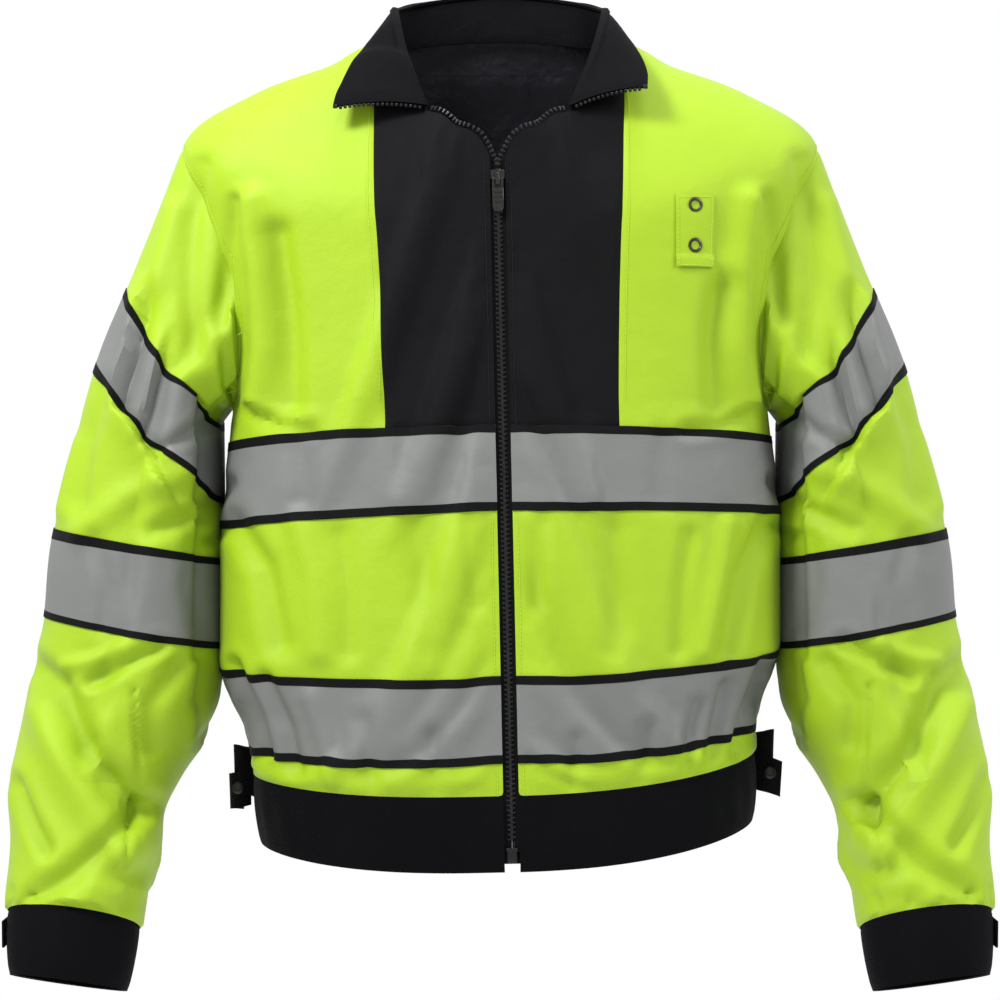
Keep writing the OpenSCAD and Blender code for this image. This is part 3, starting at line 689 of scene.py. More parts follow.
def layer(name, points, normals, quads, rise, thick):
    """A closed thin sheet: the quads lifted along the normals, with an underside and rims."""
    used, inverse = np.unique(quads, return_inverse=True)
    q = inverse.reshape(-1, 4)
    top = points[used] + normals[used] * rise
    bottom = points[used] + normals[used] * (rise - thick)
    n = len(used)
    faces = [tuple(f) for f in q] + [tuple(i + n for i in f[::-1]) for f in q]
    faces += [(b, a, a + n, b + n) for a, b in rim_edges(q)]
    obj = link(name, mesh_from(name, np.vstack([top, bottom]), faces))
    shade_smooth(obj, 40)
    return obj


def shade_smooth(obj, angle):
    mesh = obj.data
    mesh.polygons.foreach_set("use_smooth", [True] * len(mesh.polygons))
    mesh.set_sharp_from_angle(angle=radians(angle))


# ---------------------------------------------------------------- materials
class Nodes:
    """Short helpers for building one material's nodes."""

    def __init__(self, name, color, roughness, metallic=0.0, sheen=0.0, specular=0.5):
        self.mat = bpy.data.materials.new(name)
        self.mat.use_nodes = True
        self.tree = self.mat.node_tree
        self.shader = self.tree.nodes["Principled BSDF"]
        self.color = color
        self.put("Roughness", roughness)
        self.put("Metallic", metallic)
        self.put("Sheen Weight", sheen)
        self.put("Sheen Roughness", 0.4)
        self.put("Specular IOR Level", specular)
        self.put("Base Color", (*color, 1))
        where = self.add("ShaderNodeAttribute")
        where.attribute_name = "rest"
        self.where = where.outputs["Vector"]

    def put(self, socket, value):
        self.shader.inputs[socket].default_value = value

    def add(self, kind, **inputs):
        node = self.tree.nodes.new(kind)
        for key, value in inputs.items():
            node.inputs[key.replace("_", " ")].default_value = value
        return node

    def join(self, a, b):
        self.tree.links.new(a, b)

    def math(self, op, a, b=None):
        node = self.add("ShaderNodeMath")
        node.operation = op
        for i, value in enumerate((a, b)):
            if value is None:
                continue
            if isinstance(value, (int, float)):
                node.inputs[i].default_value = value
            else:
                self.join(value, node.inputs[i])
        return node.outputs[0]

    def noise(self, scale, detail=3.0, roughness=0.5, stretch=None):
        node = self.add("ShaderNodeTexNoise", Scale=scale, Detail=detail, Roughness=roughness)
        source = self.where
        if stretch:
            mapping = self.add("ShaderNodeMapping", Scale=stretch)
            self.join(source, mapping.inputs["Vector"])
            source = mapping.outputs[0]
        self.join(source, node.inputs["Vector"])
        return node.outputs["Fac"]

    def weave(self, pitch):
        """Threads crossing at a pitch in millimetres, as a height from -1 to 1."""
        parts = self.add("ShaderNodeSeparateXYZ")
        self.join(self.where, parts.inputs[0])
        across = self.math("ADD", parts.outputs[0], parts.outputs[1])
        turns = 2 * pi / pitch
        warp = self.math("SINE", self.math("MULTIPLY", across, turns))
        weft = self.math("SINE", self.math("MULTIPLY", parts.outputs[2], turns))
        return self.math("MULTIPLY", warp, weft)

    def bump(self, height, distance, under=None):
        node = self.add("ShaderNodeBump", Strength=1.0, Distance=distance * MM)
        self.join(height, node.inputs["Height"])
        if under is not None:
            self.join(under, node.inputs["Normal"])
        return node.outputs[0]

    def vary(self, fac, amount, tint=(1, 1, 1)):
        """Base colour a little lighter and darker with fac, towards tint."""
        ramp = self.add("ShaderNodeMapRange", From_Min=0.3, From_Max=0.7)
        self.join(fac, ramp.inputs["Value"])
        mixed = self.add("ShaderNodeMix")
        mixed.data_type = "RGBA"
        self.join(ramp.outputs[0], mixed.inputs[0])
        low_c = [c * (1 - amount) for c in self.color]
        high_c = [c * (1 + amount) * t for c, t in zip(self.color, tint)]
        mixed.inputs[6].default_value = (*low_c, 1)
        mixed.inputs[7].default_value = (*high_c, 1)
        self.join(mixed.outputs[2], self.shader.inputs["Base Color"])

    def rough(self, fac, low_r, high_r):
        """Roughness between the two values with fac."""
        ramp = self.add("ShaderNodeMapRange", To_Min=low_r, To_Max=high_r)
        self.join(fac, ramp.inputs["Value"])
        self.join(ramp.outputs[0], self.shader.inputs["Roughness"])

    def normal(self, value):
        self.join(value, self.shader.inputs["Normal"])


def cloth_material(name, color, roughness, sheen, pitch, weave_depth, crumple, variation, specular):
    n = Nodes(name, color, roughness, sheen=sheen, specular=specular)
    soft = n.bump(n.noise(0.045, 4, 0.55), crumple)
    fine = n.bump(n.noise(0.35, 2, 0.5, (1, 1, 0.55)), crumple * 0.12, under=soft)
    n.normal(n.bump(n.weave(pitch), weave_depth, under=fine))
    n.vary(n.noise(0.012, 3), variation)
    n.rough(n.noise(0.05, 2), roughness - 0.06, roughness + 0.06)
    return n.mat


# Colour, roughness, sheen, weave pitch and depth, crumple depth, variation, specular
LIME, BLACK, BAND, SHADED_LEAF_BLACK, SHADED_STAND_BLACK, TRIM, WEBBING, LINING, ZIP_TAPE = (cloth_material(*row) for row in (
    ("lime fabric", (0.240, 0.372, 0.008), 0.54, 0.03, 0.9, 0.05, 1.0, 0.03, 0.24),
    ("black fabric", (0.0028, 0.0028, 0.0036), 0.62, 0.003, 0.9, 0.08, 1.2, 0.18, 0.065),
    ("waistband fabric", (0.0022, 0.0022, 0.003), 0.8, 0.003, 1.6, 0.16, 0.5, 0.2, 0.04),
    # The collar's colour is darker than the black fabric's: painted shade on the leaf's upturned top, which
    # faces the lights.
    ("collar black with painted shade", (0.0024, 0.0024, 0.0032), 0.66, 0.002, 0.9, 0.08, 1.5, 0.2, 0.035),
    # The facing's colour is darker than the black fabric's: painted shade for the inside of the neck.
    ("collar facing with painted shade", (0.0016, 0.0016, 0.0022), 0.6, 0.001, 0.7, 0.05, 3.0, 0.25, 0.024),
    ("black binding", (0.003, 0.003, 0.0035), 0.7, 0.003, 0.8, 0.1, 0.3, 0.15, 0.07),
    ("webbing", (0.003, 0.003, 0.0036), 0.7, 0.004, 1.8, 0.3, 0.2, 0.2, 0.08),
    ("satin lining", (0.008, 0.008, 0.012), 0.42, 0.004, 0.5, 0.02, 3.0, 0.25, 0.3),
    ("zip tape", (0.003, 0.003, 0.0036), 0.7, 0.003, 1.1, 0.14, 0.2, 0.15, 0.07)))


def tape_material():
    n = Nodes("silver tape", (0.130, 0.134, 0.130), 0.56, metallic=0.12, specular=0.25)
    soft = n.bump(n.noise(0.05, 3, 0.5), 0.8)
    beads = n.bump(n.noise(3.0, 1, 0.5), 0.05, under=soft)
    n.normal(beads)
    n.vary(n.noise(0.01, 4), 0.05)
    n.rough(n.noise(0.03, 2), 0.52, 0.64)
    return n.mat


def hard_material(name, color, roughness, metallic, wear, specular):
    n = Nodes(name, color, roughness, metallic=metallic, specular=specular)
    n.normal(n.bump(n.noise(1.4, 4, 0.6), 0.04))
    n.vary(n.noise(0.25, 4, 0.6), wear, (1.1, 1.05, 1))
    n.rough(n.noise(0.5, 3), roughness - 0.07, roughness + 0.12)
    return n.mat


TAPE = tape_material()
# Colour, roughness, metallic, wear, specular
MOULDED, ENAMEL, ANTIQUE, SNAP, LIME_THREAD, BLACK_THREAD = (hard_material(*row) for row in (
    ("moulded zip", (0.006, 0.006, 0.0065), 0.34, 0.0, 0.2, 0.2),
    ("enamelled zinc", (0.012, 0.011, 0.01), 0.3, 0.4, 0.25, 0.4),
    ("antique metal", (0.055, 0.048, 0.036), 0.34, 0.85, 0.4, 0.5),
    ("snap metal", (0.05, 0.048, 0.044), 0.34, 1.0, 0.2, 0.5),
    ("lime thread", (0.34, 0.48, 0.012), 0.6, 0.0, 0.08, 0.5),
    ("black thread", (0.008, 0.008, 0.01), 0.6, 0.0, 0.2, 0.15)))


def finish_piece(obj, material, body=None, nodes=(), bend=None):
    """Gives a piece its material and rest coordinates, bakes its transform if it is given a bend and else
    attaches it to its body, and hides the model's parts that it replaces.
    """
    obj.data.materials.clear()
    obj.data.materials.append(material)
    rest = obj.data.attributes.new("rest", "FLOAT_VECTOR", "POINT")
    rest.data.foreach_set("vector", (read_points(obj.data) / MM).astype(np.float32).ravel())
    if bend:
        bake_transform(obj)
    elif body:
        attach(obj, body)
    if nodes:
        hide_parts(*nodes)
    return obj


# No cut piece is narrower than this, in metres.
LEAST_SIDE = 0.010


def cut_size(points, quads, strips=0, length=None):
    """(width, length) in metres of the cloth before it is hung.

    It is the rectangle with the quads' area and outline.
    strips is how many bands of one length it is, laid side by side; a tube opened at its seam is one.
    """
    p = np.asarray(points, float) / 1000
    a, b, c, d = (p[quads[:, k]] for k in range(4))
    area = np.linalg.norm(np.cross(c - a, d - b), axis=1).sum() / 2
    rim = np.array(list(rim_edges(quads)))
    half = np.linalg.norm(p[rim[:, 0]] - p[rim[:, 1]], axis=1).sum() / 2
    if strips:
        length = half / strips
    elif length is None:
        length = (half + np.sqrt(max(0.0, half ** 2 - 4 * area))) / 2
    return (max(LEAST_SIDE, round(float(area / length), 3)), round(float(length), 3))


# ---------------------------------------------------------------- the cloth shell
def bend_of(label, side):
    """The bodies and the two points of the joint that a sleeve piece spans; a piece given them is baked in
    place, not bent.
    """
    word = "left" if side > 0 else "right"
    if label == "elbow":
        return (f"sleeve_{word}_body", f"forearm_{word}_body",
                (side * 0.290, -0.010, -0.495), (side * 0.312, -0.042, -0.590))
    return ("torso", f"sleeve_{word}_body", (side * 0.210, 0, -0.300), (side * 0.2389, 0, -0.3054))


def press_seams(shell, depth):
    """Draws the cloth in along the seams, where two groups of labels meet."""
    group = np.array([seam_group(*name) for name in shell.names])[shell.labels]
    low_g = np.full(len(shell.points), 99)
    high_g = np.full(len(shell.points), -99)
    for k in range(4):
        np.minimum.at(low_g, shell.quads[:, k], group)
        np.maximum.at(high_g, shell.quads[:, k], group)
    seam = low_g != high_g
    shell.points[seam] -= shell.normals[seam] * depth


def seam_group(label, part, side):
    if part == "back":
        return 0
    return side * (1 if label == "panel" else 2 if part == "front" else 3)


def make_shell():
    g = build_grid()
    start = np.array(g.points)
    normals = vertex_normals(start, g.quads)
    held = np.ones(len(start))
    held[list(g.pins)] = 0
    # Movement fades in over a few rows next to what is held.
    q = np.array(g.quads)
    for _ in range(FADE_ROWS):
        total = np.zeros(len(start))
        count = np.zeros(len(start))
        for k in range(4):
            np.add.at(total, q[:, k], held[q].mean(1))
            np.add.at(count, q[:, k], 1)
        held = np.minimum(held, total / count)
    puffed = start + normals * (held * PUFF)[:, None]
    puffed = mix(start, limit_move(start, drape(puffed, g), normals), held[:, None])
    shell = Shell(g, puffed, 1)
    shell.cut = Shell(g, start, 1).points
    fade = subdivided(np.outer(held, (1, 0, 0)), g.quads, [0] * len(g.quads), 1)[0][:, 0]
    shell.points = shell.points + folds(shell.points, shell.normals) * fade[:, None]
    shell.settle()
    press_seams(shell, SEAM_DEPTH)
    shell.settle()
    return shell


shell = make_shell()
LOWER_LABELS = {"lower", "low_trim", "low_tape", "up_trim", "up_tape"}
SIDES = ((1, "left"), (-1, "right"))


# What a layer of the coat is made of: material, how far its face lies off the cloth surface, thickness
SHELL, PANEL, LINED = (LIME, 0, 0.9), (BLACK, 0, 0.9), (LINING, -2.4, 0.7)
TAPED, BOUND = (TAPE, 0.75, 0.45), (TRIM, 0.95, 0.65)


def shell_piece(name, labels, part, side, cloth, nodes, strips=0, length=None, body="torso", bend=None):
    """A piece of the finished surface; its flat size is read off the same quads before the simulation."""
    quads = shell.pick(lambda l, p, s: l in labels and part in (p, None) and side in (s, None))
    material, rise, thick = cloth
    obj = layer(name, shell.points, shell.normals, quads, rise, thick)
    sheet = dict(flat=cut_size(shell.cut, quads, strips, length), held="gathered")
    return finish_piece(obj, material, body, nodes, bend)


ARM_LABELS = {"arm", "arm_trim", "arm_tape", "arm_tape2"}
for side, word in SIDES:
    for name, labels, cloth in (("front_lower", LOWER_LABELS, SHELL), ("front_upper", {"upper"}, SHELL),
                                ("chest_panel", {"panel"}, PANEL), ("upper_tape_front", {"up_tape"}, TAPED),
                                ("lower_tape_front", {"low_tape"}, TAPED)):
        shell_piece(f"{name}_cloth_{word}", labels, "front", side, cloth, [f"{name}_{word}"])
    cap = bend_of("cap", side)
    for name, labels, cloth, strips in (
            ("sleeve_cap", {"cap"}, SHELL, 1), ("sleeve_upper", ARM_LABELS, SHELL, 1),
            ("sleeve_upper_tape", {"arm_tape"}, TAPED, 1), ("sleeve_lower_tape", {"arm_tape2"}, TAPED, 1),
            ("sleeve_trims", {"arm_trim"}, BOUND, 4), ("sleeve_lining", ARM_LABELS | {"cap"}, LINED, 1)):
        nodes = [] if cloth is LINED else [f"{name}_{word}"]
        shell_piece(f"{name}_cloth_{word}", labels, "sleeve", side, cloth, nodes, strips, bend=cap)
    shell_piece(f"elbow_cloth_{word}", {"elbow"}, "sleeve", side, SHELL, [f"elbow_section_{word}"], 1,
                bend=bend_of("elbow", side))
    shell_piece(f"forearm_cloth_{word}", {"forearm"}, "sleeve", side, SHELL, [f"forearm_{word}"], 1,
                body=f"forearm_{word}_body")
for name, labels, cloth in (("back_lower", LOWER_LABELS, SHELL),
                            ("back_upper", {"upper"}, SHELL),
                            ("upper_tape_back", {"up_tape"}, TAPED),
                            ("lower_tape_back", {"low_tape"}, TAPED)):
    shell_piece(f"{name}_cloth", labels, "back", None, cloth, [name])
shell_piece("body_trims_cloth", {"low_trim", "up_trim"}, None, None, BOUND, ["body_trims"], 4)
shell_piece("body_lining_cloth", LOWER_LABELS | {"upper", "panel"}, None, None, LINED, ["body_lining"],
            length=0.6)


# ---------------------------------------------------------------- helpers for the made-up pieces
def grid_quads(rows, cols, closed=False):
    """The quads of a grid of points; a closed grid joins its last column to its first."""
    quads = []
    for j in range(rows - 1):
        for i in range(cols if closed else cols - 1):
            a, b = j * cols + i, j * cols + (i + 1) % cols
            quads.append((a, b, b + cols, a + cols))
    return np.array(quads)


def sheet_piece(name, points, quads, material, thick, out, body=None, nodes=(), strips=0, bend=None,
                held="stretched", rise=0.0):
    """A closed sheet from a grid of points; out is the side its face turns to, as (point) -> direction."""
    points = np.asarray(points, float)
    normals = vertex_normals(points, quads)
    facing = sum(float(normals[i] @ out(points[i])) for i in range(0, len(points), 7))
    if facing < 0:
        quads = quads[:, ::-1]
        normals = -normals
    obj = layer(name, points, normals, quads, rise, thick)
    sheet = dict(flat=cut_size(points, quads, strips), held=held)
    return finish_piece(obj, material, body, nodes, bend)


def solid(name, parts, material, body, nodes=(), angle=35):
    """One mesh from (points, faces) parts in millimetres."""
    points, faces = [], []
    for pts, fcs in parts:
        n = len(points)
        points += [tuple(p) for p in pts]
        faces += [tuple(i + n for i in f) for f in fcs]
    obj = link(name, mesh_from(name, points, faces))
    mesh = bmesh.new()
    mesh.from_mesh(obj.data)
    bmesh.ops.recalc_face_normals(mesh, faces=mesh.faces)
    mesh.to_mesh(obj.data)
    mesh.free()
    shade_smooth(obj, angle)
    return finish_piece(obj, material, body, nodes)


def capped(rings, n):
    """The faces of a closed solid made of rings of n points."""
    last = rings * n - 1
    return [*grid_quads(rings, n, True), range(n), range(last, last - n, -1)]


def block(size, at=(0, 0, 0), bevel=0.25, top=(1, 1)):
    """A bevelled box centred on at; top scales its far y side."""
    w, d, h = (s / 2 for s in size)
    b = min(bevel, w * 0.45, d * 0.45, h * 0.45)
    pts = []
    for y, inset in ((-d, b), (-d + b, 0), (d - b, 0), (d, b)):
        t = (y + d) / (2 * d)
        sx, sz = mix(1, top[0], t), mix(1, top[1], t)
        x0, z0 = (w - inset) * sx, (h - inset) * sz
        c = b * 0.9
        for x, z in ((-x0 + c, -z0), (x0 - c, -z0), (x0, -z0 + c), (x0, z0 - c),
                     (x0 - c, z0), (-x0 + c, z0), (-x0, z0 - c), (-x0, -z0 + c)):
            pts.append((x + at[0], y + at[1], z + at[2]))
    return np.array(pts), capped(4, 8)


def rod(a, b, radius, sides=10):
    """A capped cylinder from a to b."""
    a, b = np.array(a, float), np.array(b, float)
    d = (b - a) / np.linalg.norm(b - a)
    side = np.cross(d, (0, 0, 1) if abs(d[2]) < 0.9 else (1, 0, 0))
    side /= np.linalg.norm(side)
    other = np.cross(d, side)
    ring = [np.cos(t) * side + np.sin(t) * other for t in np.arange(sides) * 2 * pi / sides]
    pts = [p + radius * k * r + d * o for p, k, o in ((a, 0.7, 0), (a, 1, radius * 0.3),
                                                     (b, 1, -radius * 0.3), (b, 0.7, 0)) for r in ring]
    return np.array(pts), capped(4, sides)


def placed(part, matrix, origin):
    """A part turned by the matrix and moved to the origin."""
    pts, faces = part
    return np.asarray(pts) @ np.asarray(matrix).T + origin, faces


def turned(profile, steps, axis_matrix, origin):
    """A ring: the closed profile (radius, height) turned about the local z axis."""
    pts = []
    for k in range(steps):
        a = 2 * pi * k / steps
        for r, h in profile:
            pts.append((r * cos(a), r * sin(a), h))
    faces = grid_quads(steps + 1, len(profile), True) % len(pts)
    return placed((np.array(pts), faces), axis_matrix, origin)


def walk(path):
    """The point at a distance along a path, and the path's length."""
    points = np.array(path, float)
    marks = np.concatenate([[0], np.cumsum([np.linalg.norm(b - a) for a, b in zip(points, points[1:])])])
    return lambda s: np.array([np.interp(s, marks, points[:, k]) for k in range(3)]), marks[-1]


# A stitch's length, the gap after it and the thread's radius
STITCH, STITCH_GAP, THREAD_R = 2.3, 0.9, 0.28


def stitches(path, lift=None):
    """A row of thread stitches along a path; with a lift they are laid that far off the cloth."""
    at, total = walk(path)
    parts = []
    s = 0.4
    while s + STITCH < total:
        ends = [at(s), at(s + STITCH)]
        if lift is not None:
            ends = [off_cloth(p, lift) for p in ends]
        parts.append(rod(*ends, THREAD_R, 5))
        s += STITCH + STITCH_GAP
    return parts


def off_cloth(p, lift):
    """The point of the cloth nearest to p, lifted off it."""
    spot, normal = shell.near(p)
    return spot + normal * lift


# ---------------------------------------------------------------- collar
# By the angle from the front: how far the roll stands out from the neck, then the leaf's edge from the roll
ROLL_OUT = [(38, 1.5), (90, 1), (180, 13)]
STAND, LEAF_BULGE = 33, 12
LEAF_SIDE = [(38, 68), (52, 50), (60, 38), (70, 25), (77, 17), (84, 11), (90, 7), (120, 6), (150, 6),
             (180, 0)]
LEAF_BACK = [(38, -1), (60, 0), (90, 6), (120, 20), (150, 30), (180, 34)]
# The wearer's left corner sits closer to the neck and higher.
LEFT_CORNER = np.array([-12, 0, 15.0])
LEAF_FALL = [(38, -1), (60, -12), (90, -16), (120, -25), (150, -42), (180, -51)]


def soft_table(pairs, u):
    """The table read with a small window, so that its corners are round."""
    window = min(9.0, u - pairs[0][0], 180.0 - u + 9)
    return float(np.mean([table(pairs, min(u + d, 360 - u - d)) for d in np.linspace(-window, window, 7)]))


def outward(u):
    return np.array([sin(radians(u)), -cos(radians(u)), 0])


def from_front(u):
    """The angle from the front, on either side."""
    return min(u, 360 - u)


def roll_point(u):
    w = from_front(u)
    q = max(0.0, (w - COLLAR_U) / (180 - COLLAR_U))
    return upper(u, NECK) + soft_table(ROLL_OUT, w) * outward(u) \
        + np.array([0, 0, 3 + (STAND - 3) * q ** 0.6])


def leaf_edge(u):
    w = from_front(u)
    side = -1 if u > 180 else 1
    corner = max(0.0, (90 - u) / (90 - COLLAR_U)) ** 2 * LEFT_CORNER if u < 90 else 0
    return roll_point(u) + corner + np.array([side * soft_table(LEAF_SIDE, w), soft_table(LEAF_BACK, w),
                                              soft_table(LEAF_FALL, w)])


def collar_angles(start, end, n):
    """Angles closer together near the front."""
    t = np.linspace(0, 1, n)
    return start + (end - start) * (0.45 * t + 0.55 * t ** 2)


def along(points, n):
    """n points along a smooth line through the given ones."""
    rows = np.array(points, float)
    return [curve(rows, t) for t in np.linspace(0, len(rows) - 1, n)]


def hump(x, centre, width):
    """A smooth hump of height 1."""
    return np.exp(-((x - centre) / width) ** 2)


def leaf_start(u):
    """0 at the leaf's front end, rising to 1 just behind it."""
    return min(1, (from_front(u) - COLLAR_U) / 20)


def leaf_rows(u):
    """The leaf from its crest to its edge."""
    r, e = roll_point(u), leaf_edge(u)
    out, start = outward(u), leaf_start(u)
    crest = r + out * (-1.5) + np.array([0, 0, 0.5 + 1.0 * start])
    top = r + out * (1.0 + 1.5 * start) + np.array([0, 0, 1.0 + 1.2 * start])
    return [crest, top] + [mix(r, e, t) + np.array([0, 0, LEAF_BULGE * t * (1 - t) + 1.2 * (1 - t)])
                           for t in (0.15, 0.4, 0.7, 1.0)]


def leaf_crumple(u, t, side):
    """Soft wrinkles, stronger on the wearer's right, which fade towards the leaf's outline."""
    w = from_front(u)
    if side < 0:
        lift = 6.5 * hump(w, 50 + 12 * t, 5) - 5.0 * hump(w, 60 + 8 * t, 5) \
            + 2.5 * hump(w, 74 - 4 * t, 5) - 4.5 * hump(w, 43 + 6 * t, 4) * t
    else:
        lift = 2.5 * hump(w, 66 + 10 * t, 12) - 2.5 * hump(w, 88, 7)
    lift += 2.5 * hump(w, 128 + 8 * t, 12) - 2.0 * hump(w, 152, 10)
    return lift * min(1, 3 * t) * (0.5 + 0.5 * t) * (1 - 0.85 * t ** 3)


def make_collar():
    leaf_n, down_n = 60, 18
    for side, word in SIDES:
        us = [u if side > 0 else 360 - u for u in collar_angles(COLLAR_U, 180, leaf_n)]
        pts = np.array([along(leaf_rows(u), down_n) for u in us])
        for i, u in enumerate(us):
            for j in range(down_n):
                pts[i, j, 2] += leaf_crumple(u, j / (down_n - 1), side)
        bend = ("torso", f"leaf_{word}", (side * 0.100, 0.020, -0.010), (side * 0.075, -0.060, -0.045))
        nodes = [f"collar_leaf_{word}"] + (["collar_leaf_back"] if side > 0 else [])
        # The leaf's material carries painted shade on its upturned top.
        sheet_piece(f"collar_leaf_cloth_{word}", pts.reshape(-1, 3), grid_quads(leaf_n, down_n), SHADED_LEAF_BLACK, 2.2,
                    lambda p: np.array([0, 0, 1.0]), nodes=nodes, bend=bend, held="folded", rise=2.2)
    half = collar_angles(COLLAR_U, 180, 50)
    us = np.concatenate([half, 360 - half[::-1][1:]])
    grid, up_n = [], 12
    for u in us:
        out, start = outward(u), leaf_start(u)
        base, r = upper(u, NECK), roll_point(u)
        grid += along([base + np.array([0, 0, -5.0]) - out * 1.5, base - out * 0.9,
                       mix(base, r, 0.45) - out * start, mix(base, r, 0.85) - out * 0.6,
                       r + np.array([0, 0, -0.4 + 0.5 * start])], up_n)
    centre = np.array([0, -20, 0])
    # The stand's facing material carries painted shade for the inside of the neck.
    sheet_piece("collar_stand_cloth", grid, grid_quads(len(us), up_n), SHADED_STAND_BLACK, 1.8,
                lambda p: (centre - p) * np.array([1, 1, 0]), body="torso", nodes=["collar_stand"],
                held="folded", rise=0.4)


make_collar()


# ---------------------------------------------------------------- zip
ZIP_LEAN_X = -atan((ZIP_TOP[1] - ZIP_BOTTOM[1]) / (ZIP_TOP[2] - ZIP_BOTTOM[2]))
ZIP_LEAN_Y = -atan((ZIP_BOTTOM[0] - ZIP_TOP[0]) / (ZIP_TOP[2] - ZIP_BOTTOM[2]))
ZIP_TURN = np.array(Matrix.Rotation(ZIP_LEAN_Y, 3, "Y") @ Matrix.Rotation(ZIP_LEAN_X, 3, "X"))
ZIP_LEN = float(np.linalg.norm(ZIP_TOP - ZIP_BOTTOM))
# From tooth to tooth, and how far the teeth lie behind the zip's line
PITCH, CHAIN_DEPTH = 3.5, 2.4
# Along the zip: where the teeth start and the slider sits, the stretch under the slider that has
# no teeth, and how far from the lower end they stop
TEETH_START, SLIDER_SPAN, TEETH_END = 3, (4, 15), 16


def on_zip(down, p=(0, 0, 0)):
    """A point p of the zip's own frame, at a distance down the zip."""
    return ZIP_TOP + ZIP_TURN @ (np.array([0, 0, -down]) + np.array(p, float))


def zip_place(part, down):
    return placed(part, ZIP_TURN, on_zip(down, (0, CHAIN_DEPTH, 0)))


def tooth(side):
    """A moulded tooth: a bridge over the tape and a rounded head past the middle."""
    return [block((3.4, 2.5, 1.5), (side * 1.45, 0, 0), 0.35, (0.9, 0.8)),
            block((1.3, 2.1, 2.5), (side * -0.55, -0.15, 0), 0.4, (0.8, 0.75))]


def make_zip():
    count = int((ZIP_LEN - TEETH_END) / PITCH)
    for side, word in SIDES:
        parts = []
        for i in range(count + 1):
            down = TEETH_START + (0 if side > 0 else PITCH / 2) + i * PITCH
            if not SLIDER_SPAN[0] < down < SLIDER_SPAN[1]:
                parts += [zip_place(p, down) for p in tooth(side)]
        meet = on_zip(1, (1.9 * side, 0, 0))
        parts += open_row([meet] + [upper(side * u, NECK) for u in np.linspace(3.4, COLLAR_U - 1, 14)],
                          (0, -1, 0.1), side, 0.2, 1.6)
        solid(f"zip_teeth_moulded_{word}", parts, MOULDED, "torso", [f"zip_teeth_{word}"], 30)
        xs = np.array([0.05, 3.6, 8.2]) * side
        rows = np.linspace(1, ZIP_LEN + 4, 120)
        pts = [on_zip(a, (x, CHAIN_DEPTH - 0.35 + 0.1 * (abs(x) > 5), 0)) for a in rows for x in xs]
        sheet_piece(f"zip_tape_woven_{word}", pts, grid_quads(len(rows), 3), ZIP_TAPE, 0.7,
                    lambda p: np.array([0, -1.0, 0]), "torso", [f"zip_tape_{word}"])
        u = COLLAR_U if side > 0 else 360 - COLLAR_U
        start, end = roll_point(u), leaf_edge(u)
        path = [start + (end - start) * t + np.array([0, 0, LEAF_BULGE * t * (1 - t)])
                for t in np.linspace(0.03, 0.985, 14)]
        parts = open_row(path, (0, -0.25, 1), -side, 0.2, 0.4)
        d = (end - start) / np.linalg.norm(end - start)
        stop = end - d * 1.5 + np.array([0, -1.6, 1.2])
        parts.append(block((3.2, 2.6, 3.0), stop, 0.5))
        solid(f"leaf_teeth_moulded_{word}", parts, MOULDED, f"leaf_{word}", [f"leaf_teeth_{word}"], 30)


def open_row(path, face, side, depth, gap):
    """Open teeth along the edge of the cloth."""
    at, total = walk(path)
    parts = []
    for i in range(int((total - 2) / PITCH)):
        s = 1.2 + i * PITCH
        t = at(s + 0.5) - at(s - 0.5)
        t /= np.linalg.norm(t)
        away = np.cross(np.array(face, float), t) * side
        away /= np.linalg.norm(away)
        out = np.cross(t, away) * side
        turn = np.array([t, -out, away]).T
        origin = at(s) - out * depth + away * gap
        parts.append(placed(block((1.4, 2.3, 2.0), (0, 0, 0.6), 0.4), turn, origin))
        parts.append(placed(block((2.3, 2.2, 1.7), (0, 0, 2.0), 0.75), turn, origin))
    return parts


